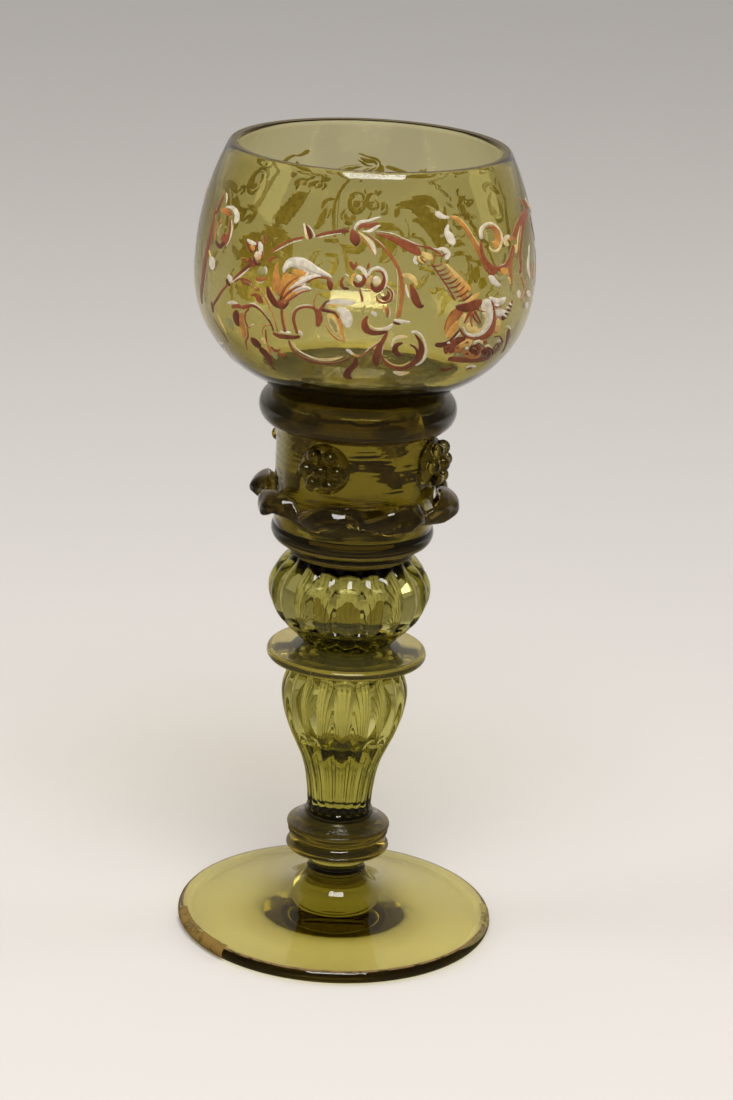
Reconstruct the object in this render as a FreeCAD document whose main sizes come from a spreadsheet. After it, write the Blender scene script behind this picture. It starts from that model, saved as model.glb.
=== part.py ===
import FreeCAD, Part
import math
import operator
import os

import Sketcher

# A tall drinking goblet in olive glass, built up from the foot as a glassmaker joins it while hot:
# every piece is its own gather or bubble, and it is seated face to face on the piece below.
# Millimetres, +Z up, origin in the middle of the face that the foot rests on.

os.makedirs("parts", exist_ok=True)
doc = FreeCAD.newDocument("goblet")

SIZES = {
    # foot: a spun disc with a rolled edge, rising to a stub that carries the stem
    "foot_radius": 49.7,
    "foot_height": 18.5,
    "foot_edge_height": 4.4,
    "foot_edge_roll": 1.6,
    "foot_pontil_radius": 11.0,
    "foot_kick_radius": 44.0,
    "foot_kick_height": 3.0,
    "foot_slope_radius": 30.0,
    "foot_slope_height": 6.9,
    "foot_flare_radius": 14.0,
    "foot_flare_height": 11.6,
    "foot_stub_radius": 10.4,
    "foot_stub_height": 15.2,
    # neck: the bright waist between the foot and the first merese
    "neck_height": 4.3,
    "neck_foot_radius": 9.2,
    "neck_waist_radius": 8.8,
    "neck_top_radius": 9.6,
    # mereses: two discs pressed out between the stem parts, thin at the edge
    "merese_height": 7.0,
    "merese_radius": 16.2,
    "merese_edge_height": 1.6,
    "merese_edge_roll": 0.6,
    "merese_joint_radius": 13.2,
    # ribs: each of the mould's parts forms as many of them
    "mould_parts": 4,
    "ribs_per_mould_part": 5,
    # baluster: a mould-blown ribbed bubble, solid below and hollow in the shoulder
    "baluster_height": 51.2,
    "baluster_radius": 19.6,
    "baluster_seat_radius": 10.7,
    "baluster_seat_height": 2.4,
    "baluster_rib_depth": 0.8,
    "baluster_wall": 3.4,
    "baluster_core_height": 20.0,
    # flange: the wide dished disc between the two ribbed bubbles
    "flange_height": 6.3,
    "flange_radius": 24.8,
    "flange_edge_height": 2.8,
    "flange_edge_thickness": 2.4,
    "flange_edge_roll": 0.9,
    "flange_dish_radius": 19.2,
    "flange_dish_height": 4.6,
    # knop: the squat ribbed bubble above the flange
    "knop_height": 28.9,
    "knop_radius": 25.0,
    "knop_rib_depth": 1.0,
    "knop_wall": 3.2,
    "knop_core_height": 7.0,
    "bubble_throat_radius": 9.0,
    # capstan: the low disc that closes the knop
    "capstan_height": 3.8,
    "capstan_radius": 19.8,
    "capstan_top_radius": 19.2,
    # cylinder ring: the disc that carries the cylinder
    "ring_height": 6.0,
    "ring_radius": 24.9,
    "ring_seat_radius": 20.4,
    # cylinder: the hollow drum with the trail and the prunts on its side
    "cylinder_height": 31.3,
    "cylinder_radius": 24.4,
    "cylinder_wall": 3.0,
    # trail: a thread laid round the cylinder and pinched into waves
    "trail_waves": 8,
    "trail_first_azimuth": 7.7,
    "trail_height": 8.6,
    "trail_pinch_thickness": 4.6,
    "trail_crest_thickness": 7.4,
    "trail_reach": 4.4,
    "trail_lift": 3.6,
    "trail_root": 0.5,
    "trail_corners": 8,
    # prunts: four pads, each pressed with a stamp of round bosses
    "prunt_first_azimuth": 59.0,
    "prunt_height": 23.0,
    "prunt_radius": 7.9,
    "prunt_thickness": 2.5,
    "prunt_bevel": 0.5,
    "boss_count": 6,
    "boss_radius": 2.3,
    "boss_ring_radius": 5.0,
    "boss_rise": 5.0,
    "middle_boss_radius": 2.5,
    "middle_boss_rise": 6.2,
    # collar: the thick ring between the cylinder and the bowl
    "collar_height": 11.2,
    "collar_radius": 30.1,
    "collar_bore_radius": 20.8,
    # bowl: a rounded bubble, closed below and cut open at the lip
    "bowl_height": 74.5,
    "bowl_radius": 50.9,
    "bowl_belly_height": 34.6,
    "bowl_seat_radius": 24.2,
    "bowl_heel_radius": 31.0,
    "bowl_heel_height": 4.4,
    "bowl_turn_radius": 41.3,
    "bowl_turn_height": 11.4,
    "bowl_shoulder_radius": 48.9,
    "bowl_shoulder_height": 54.4,
    "bowl_lip_radius": 41.8,
    "bowl_wall": 2.6,
    "bowl_lip_crown": 0.5,
    "bowl_floor": 6.0,
    "bowl_floor_radius": 20.0,
}

# Outline of the ribbed bubbles: heights as shares of the ribbed height, girths as shares of the
# widest radius
BALUSTER_LEVEL_SHARES = (0.0, 0.12, 0.24, 0.35, 0.45, 0.55, 0.66, 0.78, 0.88, 1.0)
BALUSTER_GIRTH_SHARES = (0.505, 0.53, 0.575, 0.655, 0.765, 0.875, 0.96, 1.0, 0.965, 0.83)
KNOP_LEVEL_SHARES = (0.0, 0.11, 0.22, 0.33, 0.45, 0.57, 0.69, 0.80, 0.90, 1.0)
KNOP_GIRTH_SHARES = (0.535, 0.66, 0.79, 0.895, 0.965, 1.0, 0.99, 0.935, 0.85, 0.735)

# One wave of the trail: place along the wave, reach out from the cylinder, height in the trail
# and thickness between pinch and crest, each as a share
TRAIL_WAVE_SHARES = (
    (0.0, 0.0, 0.0, 0.0),
    (0.17, 0.45, 0.15, 0.40),
    (0.35, 0.85, 0.45, 0.85),
    (0.55, 1.0, 0.80, 1.0),
    (0.74, 0.75, 1.0, 0.70),
    (0.90, 0.30, 0.70, 0.25),
    (1.0, 0.0, 0.0, 0.0),
)

# Places of the four prunts round the cylinder, which were set by eye, as shares of a full turn
PRUNT_PLACE_SHARES = (0.0, 0.225, 0.526, 0.776)

# Plain parts of a whole: the middle, and the height of a shallow dome halfway out from its top
HALF_SHARE = 0.5
CAP_SHARE = 0.75

# A rib's two flanks rise steeply to its shoulders, which lie a little below the crest
RIB_FLANK_SHARE = 0.2
RIB_SHOULDER_SHARE = 0.3
DIAGONAL_SHARE = math.sqrt(HALF_SHARE)

sheet = doc.addObject("Spreadsheet::Sheet", "Sizes")
for row, (alias, value) in enumerate(SIZES.items(), start=1):
    sheet.set(f"A{row}", alias)
    sheet.set(f"B{row}", str(value))
    sheet.setAlias(f"B{row}", alias)
doc.recompute()


class Term:
    """A size with the formula that gives it, so that each sum is written once."""

    SIGNS = {"+": operator.add, "-": operator.sub, "*": operator.mul, "/": operator.truediv}

    def __init__(self, value, formula):
        self.value = value
        self.formula = formula

    def joined(self, sign, other):
        other = other if isinstance(other, Term) else Term(other, repr(other))
        return Term(self.SIGNS[sign](self.value, other.value), f"({self.formula} {sign} {other.formula})")

    def __add__(self, other):
        return self.joined("+", other)

    def __sub__(self, other):
        return self.joined("-", other)

    def __mul__(self, other):
        return self.joined("*", other)

    def __truediv__(self, other):
        return self.joined("/", other)


ZERO = Term(0, "0")
FULL_TURN = Term(360, "360")


def size(alias):
    return Term(SIZES[alias], f"Sizes.{alias}")


def polar(radius, angle):
    """The two sides of a point given by its radius and its angle in degrees."""
    turn = math.radians(angle.value)
    across = Term(radius.value * math.cos(turn), f"{radius.formula} * cos({angle.formula})")
    along = Term(radius.value * math.sin(turn), f"{radius.formula} * sin({angle.formula})")
    return across, along


def vector(point):
    return FreeCAD.Vector(point[0].value, point[1].value, 0)


def origin_feature(body, role):
    return next(item for item in body.Origin.OriginFeatures if item.Role == role)


def new_body(name, level):
    """A piece of the goblet whose own zero height stands at the given level."""
    body = doc.addObject("PartDesign::Body", name)
    body.Label = name
    body.Placement = FreeCAD.Placement(FreeCAD.Vector(0, 0, level.value), FreeCAD.Rotation())
    body.setExpression("Placement.Base.z", level.formula)
    return body


def turn_body(body, azimuth):
    """Turns a piece about the goblet's axis."""
    body.Placement.Rotation = FreeCAD.Rotation(FreeCAD.Vector(0, 0, 1), azimuth.value)
    body.setExpression("Placement.Rotation.Angle", azimuth.formula)


def new_sketch(body, name, role="XZ_Plane"):
    sketch = body.newObject("Sketcher::SketchObject", f"{body.Name}_{name}")
    sketch.AttachmentSupport = (origin_feature(body, role), [""])
    sketch.MapMode = "FlatFace"
    return sketch


def pin(sketch, edge, end, point):
    """Ties one end of an edge to its place in the sketch."""
    for kind, zero_axis, term in (("DistanceX", -2, point[0]), ("DistanceY", -1, point[1])):
        if term.value == 0:
            sketch.addConstraint(Sketcher.Constraint("PointOnObject", edge, end, zero_axis))
        else:
            rule = Sketcher.Constraint(kind, -1, 1, edge, end, term.value)
            index = sketch.addConstraint(rule)
            sketch.setExpression(f"Constraints[{index}]", term.formula)


def add_line(sketch, start, end):
    return sketch.addGeometry(Part.LineSegment(vector(start), vector(end)), False), 1, 2


def add_arc(sketch, start, through, end):
    """An arc through three points, the middle one held by a point on the arc."""
    first, middle, last = vector(start), vector(through), vector(end)
    circle = Part.Arc(first, middle, last).toShape().Curve
    anticlockwise = (middle - first).cross(last - middle).z > 0
    ends = (first, last) if anticlockwise else (last, first)
    angles = [math.atan2(place.y - circle.Center.y, place.x - circle.Center.x) for place in ends]
    base = Part.Circle(circle.Center, FreeCAD.Vector(0, 0, 1), circle.Radius)
    edge = sketch.addGeometry(Part.ArcOfCircle(base, angles[0], angles[1]), False)
    mark = sketch.addGeometry(Part.Point(middle), True)
    pin(sketch, mark, 1, through)
    sketch.addConstraint(Sketcher.Constraint("PointOnObject", mark, 1, edge))
    return (edge, 1, 2) if anticlockwise else (edge, 2, 1)


def draw(sketch, steps):
    """A closed outline: a step of one point is a line to it, a step of two an arc through the first."""
    corners = [step[-1] for step in steps]
    edges = []
    for index, corner in enumerate(corners):
        following = steps[(index + 1) % len(steps)]
        if len(following) == 1:
            edges.append(add_line(sketch, corner, following[0]))
        else:
            edges.append(add_arc(sketch, corner, following[0], following[1]))
    for index, (edge, start, end) in enumerate(edges):
        pin(sketch, edge, start, corners[index])
        next_edge, next_start, _ = edges[(index + 1) % len(edges)]
        sketch.addConstraint(Sketcher.Constraint("Coincident", edge, end, next_edge, next_start))


def turn(body, name, steps, kind="Revolution", axis="V_Axis"):
    """Adds or cuts the solid that an outline sweeps in one full turn."""
    sketch = new_sketch(body, f"{name}_outline")
    draw(sketch, steps)
    feature = body.newObject(f"PartDesign::{kind}", f"{body.Name}_{name}")
    feature.Profile = sketch
    feature.ReferenceAxis = (sketch, [axis])
    feature.Angle = FULL_TURN.value
    doc.recompute()
    return feature


def draw_circle(sketch, centre, radius):
    circle = Part.Circle(vector(centre), FreeCAD.Vector(0, 0, 1), radius.value)
    edge = sketch.addGeometry(circle, False)
    pin(sketch, edge, 3, centre)
    index = sketch.addConstraint(Sketcher.Constraint("Radius", edge, radius.value))
    sketch.setExpression(f"Constraints[{index}]", radius.formula)


def cut_cylinder_seat(body):
    """Removes what lies inside the cylinder's wall, so that the piece sits on its outside."""
    sketch = new_sketch(body, "seat_outline", "XY_Plane")
    draw_circle(sketch, (ZERO, ZERO), size("cylinder_radius"))
    seat = body.newObject("PartDesign::Pocket", f"{body.Name}_seat")
    seat.Profile = sketch
    seat.Type = "ThroughAll"
    seat.SideType = "Symmetric"
    doc.recompute()


def add_boss(body, name, radius, rise, offset):
    """A round bead whose top stands at the given rise above the cylinder, poles along the rise."""
    boss = body.newObject("PartDesign::AdditiveSphere", f"{body.Name}_{name}")
    boss.AttachmentSupport = (origin_feature(body, "YZ_Plane"), [""])
    boss.MapMode = "FlatFace"
    centre = size("cylinder_radius") + rise - radius
    boss.setExpression("Radius", radius.formula)
    boss.setExpression("AttachmentOffset.Base.y", offset.formula)
    boss.setExpression("AttachmentOffset.Base.z", centre.formula)
    doc.recompute()
    return boss


def pattern_round(body, name, feature, role, count):
    """Repeats a feature evenly round one of the body's axes."""
    pattern = body.newObject("PartDesign::PolarPattern", f"{body.Name}_{name}")
    pattern.Originals = [feature]
    pattern.Axis = (origin_feature(body, role), [""])
    pattern.Angle = FULL_TURN.value
    pattern.Occurrences = int(count.value)
    pattern.setExpression("Occurrences", count.formula)
    body.Tip = pattern
    doc.recompute()
    return pattern


# Levels at which the pieces meet, from the table up
level_neck = size("foot_height")
level_lower_merese = level_neck + size("neck_height")
level_upper_merese = level_lower_merese + size("merese_height")
level_baluster = level_upper_merese + size("merese_height")
level_flange = level_baluster + size("baluster_height")
level_knop = level_flange + size("flange_height")
level_capstan = level_knop + size("knop_height")
level_ring = level_capstan + size("capstan_height")
level_cylinder = level_ring + size("ring_height")
level_collar = level_cylinder + size("cylinder_height")
level_bowl = level_collar + size("collar_height")


# Foot: flat ring of contact, shallow hollow underneath, rolled edge and flared stub
foot = new_body("foot", ZERO)
foot_land = size("foot_radius") - size("foot_edge_roll")
turn(foot, "disc", [
    ((ZERO, size("foot_kick_height")),),
    ((size("foot_pontil_radius"), size("foot_kick_height")),),
    (
        (size("foot_kick_radius") * HALF_SHARE, size("foot_kick_height") * CAP_SHARE),
        (size("foot_kick_radius"), ZERO),
    ),
    ((foot_land, ZERO),),
    (
        (size("foot_radius"), size("foot_edge_height") * HALF_SHARE),
        (foot_land, size("foot_edge_height")),
    ),
    (
        (size("foot_slope_radius"), size("foot_slope_height")),
        (size("foot_flare_radius"), size("foot_flare_height")),
    ),
    (
        (size("foot_stub_radius"), size("foot_stub_height")),
        (size("neck_foot_radius"), size("foot_height")),
    ),
    ((ZERO, size("foot_height")),),
])

# Neck: a short solid waist
neck = new_body("stem_neck", level_neck)
turn(neck, "waist", [
    ((ZERO, ZERO),),
    ((size("neck_foot_radius"), ZERO),),
    (
        (size("neck_waist_radius"), size("neck_height") * HALF_SHARE),
        (size("neck_top_radius"), size("neck_height")),
    ),
    ((ZERO, size("neck_height")),),
])


def add_merese(name, level, lower_radius, upper_radius):
    """A solid disc with a thin rounded edge, pressed between two stem parts."""
    merese = new_body(name, level)
    edge_radius = size("merese_radius") - size("merese_edge_roll")
    edge_bottom = (size("merese_height") - size("merese_edge_height")) * HALF_SHARE
    edge_top = edge_bottom + size("merese_edge_height")
    turn(merese, "disc", [
        ((ZERO, ZERO),),
        ((lower_radius, ZERO),),
        ((edge_radius, edge_bottom),),
        ((size("merese_radius"), size("merese_height") * HALF_SHARE),),
        ((edge_radius, edge_top),),
        ((upper_radius, size("merese_height")),),
        ((ZERO, size("merese_height")),),
    ])


add_merese("lower_merese", level_lower_merese, size("neck_top_radius"), size("merese_joint_radius"))
add_merese("upper_merese", level_upper_merese, size("merese_joint_radius"), size("baluster_seat_radius"))


def add_ribs(body, base, height, radius, depth, level_shares, girth_shares):
    """The ribs from one part of the mould, lofted through their cross-sections, and repeated."""
    ribs = int(SIZES["ribs_per_mould_part"])
    pitch = FULL_TURN / (size("mould_parts") * size("ribs_per_mould_part"))
    sections = []
    for index, (level_share, girth_share) in enumerate(zip(level_shares, girth_shares)):
        crest = radius * girth_share
        valley = crest - depth * girth_share
        shoulder = crest - depth * girth_share * RIB_SHOULDER_SHARE
        level = base + height * level_share
        sketch = new_sketch(body, f"ribs_{index}", "XY_Plane")
        sketch.setExpression("AttachmentOffset.Base.z", level.formula)
        corners = [((ZERO, ZERO),), ((valley, ZERO),)]
        for rib in range(ribs):
            corners.append((polar(shoulder, pitch * (rib + RIB_FLANK_SHARE)),))
            corners.append((polar(crest, pitch * (rib + HALF_SHARE)),))
            corners.append((polar(shoulder, pitch * (rib + 1 - RIB_FLANK_SHARE)),))
            corners.append((polar(valley, pitch * (rib + 1)),))
        draw(sketch, corners)
        sections.append(sketch)
    loft = body.newObject("PartDesign::AdditiveLoft", f"{body.Name}_moulded_ribs")
    loft.Profile = sections[0]
    loft.Sections = sections[1:]
    loft.Ruled = True
    doc.recompute()
    pattern_round(body, "ribs", loft, "Z_Axis", size("mould_parts"))


def hollow(body, base, height, radius, wall, core, level_shares, girth_shares):
    """Cuts the bubble's inside, which follows the ribs at the wall's thickness above the solid core."""
    top = base + height
    inside = [
        (radius * girth_share - wall, base + height * level_share)
        for level_share, girth_share in zip(level_shares, girth_shares)
        if (base + height * level_share).value > (core + wall).value
        and (height * (1 - level_share)).value > wall.value
    ]
    turn(body, "bubble", [
        ((ZERO, core),),
        *[(corner,) for corner in inside],
        ((size("bubble_throat_radius"), top - wall * HALF_SHARE),),
        ((size("bubble_throat_radius"), top),),
        ((ZERO, top),),
    ], "Groove")


# Baluster: plain seat, ribs all round and a hollow shoulder
baluster = new_body("baluster", level_baluster)
baluster_ribbed = size("baluster_height") - size("baluster_seat_height")
baluster_top_radius = size("baluster_radius") * BALUSTER_GIRTH_SHARES[-1]
turn(baluster, "seat", [
    ((ZERO, ZERO),),
    ((size("baluster_seat_radius"), ZERO),),
    ((size("baluster_seat_radius"), size("baluster_seat_height")),),
    ((ZERO, size("baluster_seat_height")),),
])
baluster_form = (
    baluster, size("baluster_seat_height"), baluster_ribbed, size("baluster_radius"),
)
add_ribs(*baluster_form, size("baluster_rib_depth"), BALUSTER_LEVEL_SHARES, BALUSTER_GIRTH_SHARES)
hollow(
    *baluster_form, size("baluster_wall"), size("baluster_core_height"),
    BALUSTER_LEVEL_SHARES, BALUSTER_GIRTH_SHARES,
)

# Flange: a wide solid disc, dished on top round the knop's seat
flange = new_body("middle_flange", level_flange)
flange_edge_radius = size("flange_radius") - size("flange_edge_roll")
flange_edge_half = size("flange_edge_thickness") * HALF_SHARE
flange_seat_radius = size("knop_radius") * KNOP_GIRTH_SHARES[0]
turn(flange, "disc", [
    ((ZERO, ZERO),),
    ((baluster_top_radius, ZERO),),
    ((flange_edge_radius, size("flange_edge_height") - flange_edge_half),),
    ((size("flange_radius"), size("flange_edge_height")),),
    ((flange_edge_radius, size("flange_edge_height") + flange_edge_half),),
    (
        (size("flange_dish_radius"), size("flange_dish_height")),
        (flange_seat_radius, size("flange_height")),
    ),
    ((ZERO, size("flange_height")),),
])

# Knop: ribs all round a squat bubble, which stays open under the capstan
knop = new_body("ribbed_knop", level_knop)
knop_top_radius = size("knop_radius") * KNOP_GIRTH_SHARES[-1]
knop_form = (knop, ZERO, size("knop_height"), size("knop_radius"))
add_ribs(*knop_form, size("knop_rib_depth"), KNOP_LEVEL_SHARES, KNOP_GIRTH_SHARES)
hollow(
    *knop_form, size("knop_wall"), size("knop_core_height"), KNOP_LEVEL_SHARES, KNOP_GIRTH_SHARES,
)

# Capstan: a low solid disc on the knop
capstan = new_body("capstan", level_capstan)
turn(capstan, "disc", [
    ((ZERO, ZERO),),
    ((knop_top_radius, ZERO),),
    (
        (size("capstan_radius"), size("capstan_height") * HALF_SHARE),
        (size("capstan_top_radius"), size("capstan_height")),
    ),
    ((ZERO, size("capstan_height")),),
])

# Cylinder ring: a solid disc that closes the cylinder from below
ring = new_body("cylinder_ring", level_ring)
turn(ring, "disc", [
    ((ZERO, ZERO),),
    ((size("ring_seat_radius"), ZERO),),
    (
        (size("ring_radius"), size("ring_height") * HALF_SHARE),
        (size("cylinder_radius"), size("ring_height")),
    ),
    ((ZERO, size("ring_height")),),
])

# Cylinder: a plain hollow drum
cylinder = new_body("prunted_cylinder", level_cylinder)
cylinder_bore_radius = size("cylinder_radius") - size("cylinder_wall")
turn(cylinder, "wall", [
    ((cylinder_bore_radius, ZERO),),
    ((size("cylinder_radius"), ZERO),),
    ((size("cylinder_radius"), size("cylinder_height")),),
    ((cylinder_bore_radius, size("cylinder_height")),),
])

# Trail: one wave lofted from pinch to pinch and repeated round the cylinder, then cut to seat on it
trail = new_body("pinched_trail", level_cylinder + size("trail_height"))
turn_body(trail, size("trail_first_azimuth"))
trail_pinch_radius = size("cylinder_radius") + size("trail_pinch_thickness") * HALF_SHARE
trail_swell = size("trail_crest_thickness") - size("trail_pinch_thickness")
wave_pitch = FULL_TURN / size("trail_waves")
wave_sections = []
for index, (place_share, reach_share, lift_share, swell_share) in enumerate(TRAIL_WAVE_SHARES):
    angle = wave_pitch * place_share
    reach = trail_pinch_radius - size("trail_root") + size("trail_reach") * reach_share
    lift = size("trail_lift") * (lift_share - HALF_SHARE)
    thickness = size("trail_pinch_thickness") + trail_swell * swell_share
    sketch = new_sketch(trail, f"wave_{index}")
    turned = FreeCAD.Rotation(FreeCAD.Vector(0, 1, 0), angle.value)
    sketch.AttachmentOffset = FreeCAD.Placement(FreeCAD.Vector(0, 0, 0), turned)
    sketch.setExpression("AttachmentOffset.Rotation.Angle", angle.formula)
    corners = []
    for corner in range(int(SIZES["trail_corners"])):
        across, along = polar(thickness * HALF_SHARE, FULL_TURN / size("trail_corners") * corner)
        corners.append(((reach + across, lift + along),))
    draw(sketch, corners)
    wave_sections.append(sketch)
wave = trail.newObject("PartDesign::AdditiveLoft", "pinched_trail_wave")
wave.Profile = wave_sections[0]
wave.Sections = wave_sections[1:]
wave.Ruled = True
doc.recompute()
pattern_round(trail, "waves", wave, "Z_Axis", size("trail_waves"))
cut_cylinder_seat(trail)

# Prunts: a round pad with a ring of bosses and one in the middle, its back cut to the cylinder
for number, place_share in enumerate(PRUNT_PLACE_SHARES, start=1):
    prunt = new_body(f"prunt_{number}", level_cylinder + size("prunt_height"))
    turn_body(prunt, size("prunt_first_azimuth") + FULL_TURN * place_share)
    face = size("cylinder_radius") + size("prunt_thickness")
    turn(prunt, "pad", [
        ((cylinder_bore_radius, ZERO),),
        ((cylinder_bore_radius, size("prunt_radius")),),
        ((face - size("prunt_bevel"), size("prunt_radius")),),
        ((face, size("prunt_radius") - size("prunt_bevel")),),
        ((face, ZERO),),
    ], axis="H_Axis")
    cut_cylinder_seat(prunt)
    add_boss(prunt, "middle_boss", size("middle_boss_radius"), size("middle_boss_rise"), ZERO)
    boss = add_boss(prunt, "boss", size("boss_radius"), size("boss_rise"), size("boss_ring_radius"))
    pattern_round(prunt, "bosses", boss, "X_Axis", size("boss_count"))

# Collar: a thick ring between the cylinder and the bowl
collar = new_body("bowl_collar", level_collar)
turn(collar, "ring", [
    ((size("collar_bore_radius"), ZERO),),
    ((size("cylinder_radius"), ZERO),),
    (
        (size("collar_radius"), size("collar_height") * HALF_SHARE),
        (size("bowl_seat_radius"), size("collar_height")),
    ),
    ((size("collar_bore_radius"), size("collar_height")),),
])

# Bowl: outside from the seat up to the lip, and inside down to the floor at the wall's thickness
bowl = new_body("bowl", level_bowl)
wall = size("bowl_wall")
lip_height = size("bowl_height") - size("bowl_lip_crown")
turn(bowl, "wall", [
    ((ZERO, ZERO),),
    ((size("bowl_seat_radius"), ZERO),),
    ((size("bowl_heel_radius"), size("bowl_heel_height")),),
    (
        (size("bowl_turn_radius"), size("bowl_turn_height")),
        (size("bowl_radius"), size("bowl_belly_height")),
    ),
    (
        (size("bowl_shoulder_radius"), size("bowl_shoulder_height")),
        (size("bowl_lip_radius"), lip_height),
    ),
    (
        (size("bowl_lip_radius") - wall * HALF_SHARE, size("bowl_height")),
        (size("bowl_lip_radius") - wall, lip_height),
    ),
    (
        (size("bowl_shoulder_radius") - wall, size("bowl_shoulder_height")),
        (size("bowl_radius") - wall, size("bowl_belly_height")),
    ),
    (
        (
            size("bowl_turn_radius") - wall * DIAGONAL_SHARE,
            size("bowl_turn_height") + wall * DIAGONAL_SHARE,
        ),
        (size("bowl_heel_radius") - wall * HALF_SHARE, size("bowl_heel_height") + wall),
    ),
    ((size("bowl_floor_radius"), size("bowl_floor")),),
    ((ZERO, size("bowl_floor")),),
])

# Every object is tested before anything is written
doc.recompute()
for item in doc.Objects:
    if "Invalid" in item.State or "Error" in item.State:
        raise RuntimeError(f"{item.Name} failed: {item.State}")
bodies = [item for item in doc.Objects if item.TypeId == "PartDesign::Body"]
for body in bodies:
    shape = body.Shape
    if shape.isNull() or not shape.isValid() or len(shape.Solids) != 1:
        raise RuntimeError(f"{body.Label} isn't one valid solid")
for body in bodies:
    body.Shape.exportStep(f"parts/{body.Label}.step")
    print(f"{body.Label}: {body.Shape.Volume:.0f} mm3")
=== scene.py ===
import math

import bpy
from mathutils import Matrix, Vector


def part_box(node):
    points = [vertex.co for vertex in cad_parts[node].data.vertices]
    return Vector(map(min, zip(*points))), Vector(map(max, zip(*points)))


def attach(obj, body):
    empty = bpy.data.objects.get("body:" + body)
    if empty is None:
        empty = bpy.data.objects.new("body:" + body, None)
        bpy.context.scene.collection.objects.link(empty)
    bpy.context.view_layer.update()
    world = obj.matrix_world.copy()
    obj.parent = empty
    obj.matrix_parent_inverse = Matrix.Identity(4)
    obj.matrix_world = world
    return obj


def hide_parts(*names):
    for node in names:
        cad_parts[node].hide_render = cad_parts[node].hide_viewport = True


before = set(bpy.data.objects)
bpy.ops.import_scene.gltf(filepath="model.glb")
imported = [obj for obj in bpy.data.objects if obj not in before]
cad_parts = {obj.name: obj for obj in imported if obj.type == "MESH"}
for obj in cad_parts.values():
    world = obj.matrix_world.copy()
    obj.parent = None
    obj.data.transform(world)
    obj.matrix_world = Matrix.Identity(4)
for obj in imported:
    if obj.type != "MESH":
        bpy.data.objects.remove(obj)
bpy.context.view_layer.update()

# Studio: a pale floor that runs out of sight under a plain pale world, one softbox high in front and a
# weaker one at each side. The camera stands where the photograph was taken.
scene = bpy.context.scene
scene.view_settings.view_transform = "Standard"
scene.cycles.max_bounces = 48
scene.cycles.transmission_bounces = 48
scene.cycles.transparent_max_bounces = 64
scene.cycles.glossy_bounces = 32

CAMERA_PLACE = (0.0005, -0.9266, 0.4302)
CAMERA_PITCH = math.radians(18.29)
CAMERA_YAW = math.radians(0.26)
CAMERA_ROLL = math.radians(2.85)
CAMERA_LENS = 103.9
SENSOR_LONG_SIDE = 36.0

ahead = Vector((
    math.sin(CAMERA_YAW) * math.cos(CAMERA_PITCH),
    math.cos(CAMERA_YAW) * math.cos(CAMERA_PITCH),
    -math.sin(CAMERA_PITCH),
))
level_right = Vector((math.cos(CAMERA_YAW), -math.sin(CAMERA_YAW), 0.0))
level_up = level_right.cross(ahead)
right = math.cos(CAMERA_ROLL) * level_right + math.sin(CAMERA_ROLL) * level_up
up = math.cos(CAMERA_ROLL) * level_up - math.sin(CAMERA_ROLL) * level_right
turned = Matrix((right, up, -ahead)).transposed().to_4x4()
bpy.ops.object.camera_add()
camera = bpy.context.object
camera.matrix_world = Matrix.Translation(CAMERA_PLACE) @ turned
camera.data.lens = CAMERA_LENS
camera.data.sensor_width = SENSOR_LONG_SIDE
camera.data.clip_end = 50.0
scene.camera = camera

FLOOR_SIZE = 24.0
FLOOR_COLOUR = (0.66, 0.62, 0.58, 1.0)
BACKDROP_COLOUR = (0.60, 0.56, 0.52, 1.0)
ROOM_COLOUR = (0.085, 0.075, 0.055, 1.0)
ROOM_FLOOR_COLOUR = (0.15, 0.13, 0.09, 1.0)
WORLD_DIFFUSE_STRENGTH = 0.55
# Rays that the glass bends see a floor that is darker beside the goblet, in front of it and far to the
# sides, and a darker backdrop at the sides and in front. Each pair is where the dark starts and where it
# is full, in metres on the floor and as a direction on the backdrop.
FLOOR_MIDDLE = 0.025
DARK_BESIDE = (0.055, 0.15)
DARK_BESIDE_NEAR = (0.55, 0.40)
DARK_FAR_ASIDE = (0.18, 0.50)
DARK_IN_FRONT = (-0.02, -0.075)
BENT_DARKNESS = 0.70
FAR_DARKNESS = 0.5
BACKDROP_MIDDLE = 0.12
DARK_BACKDROP_ASIDE = (0.30, 0.70)
DARK_BACKDROP_IN_FRONT = (0.3, -0.2)
BACKDROP_DARKNESS = 0.2
# Rays that the glass mirrors see a dark room in front and the pale floor and backdrop behind.
MIRRORED_FLOOR = (0.35, 0.08)
MIRRORED_BACKDROP = (0.35, 0.85)


def fill(tree, node, sockets):
    """Gives each socket of a node its value, or a link from the output of another node."""
    for key, value in sockets.items():
        if isinstance(value, bpy.types.NodeSocket):
            tree.links.new(value, node.inputs[key])
        else:
            node.inputs[key].default_value = value


def add_node(tree, kind, sockets, **settings):
    """A new shader node with its settings and sockets."""
    node = tree.nodes.new("ShaderNode" + kind)
    for name, value in settings.items():
        setattr(node, name, value)
    fill(tree, node, sockets)
    return node


def add_sum(tree, operation, first, second=0.0):
    """One sum of two links or numbers."""
    sockets = {0: first, 1: second}
    return add_node(tree, "Math", sockets, operation=operation, use_clamp=operation == "SUBTRACT").outputs[0]


def add_rise(tree, value, start, end):
    """Rises from 0 to 1 as the value goes from start to end."""
    sockets = {"Value": value, "From Min": start, "From Max": end}
    return add_node(tree, "MapRange", sockets, interpolation_type="SMOOTHSTEP").outputs["Result"]


def new_material(name):
    """A new material, its tree of nodes, its shader and its output."""
    material = bpy.data.materials.new(name)
    material.use_nodes = True
    nodes = material.node_tree.nodes
    return material, material.node_tree, nodes["Principled BSDF"], nodes["Material Output"]


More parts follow.
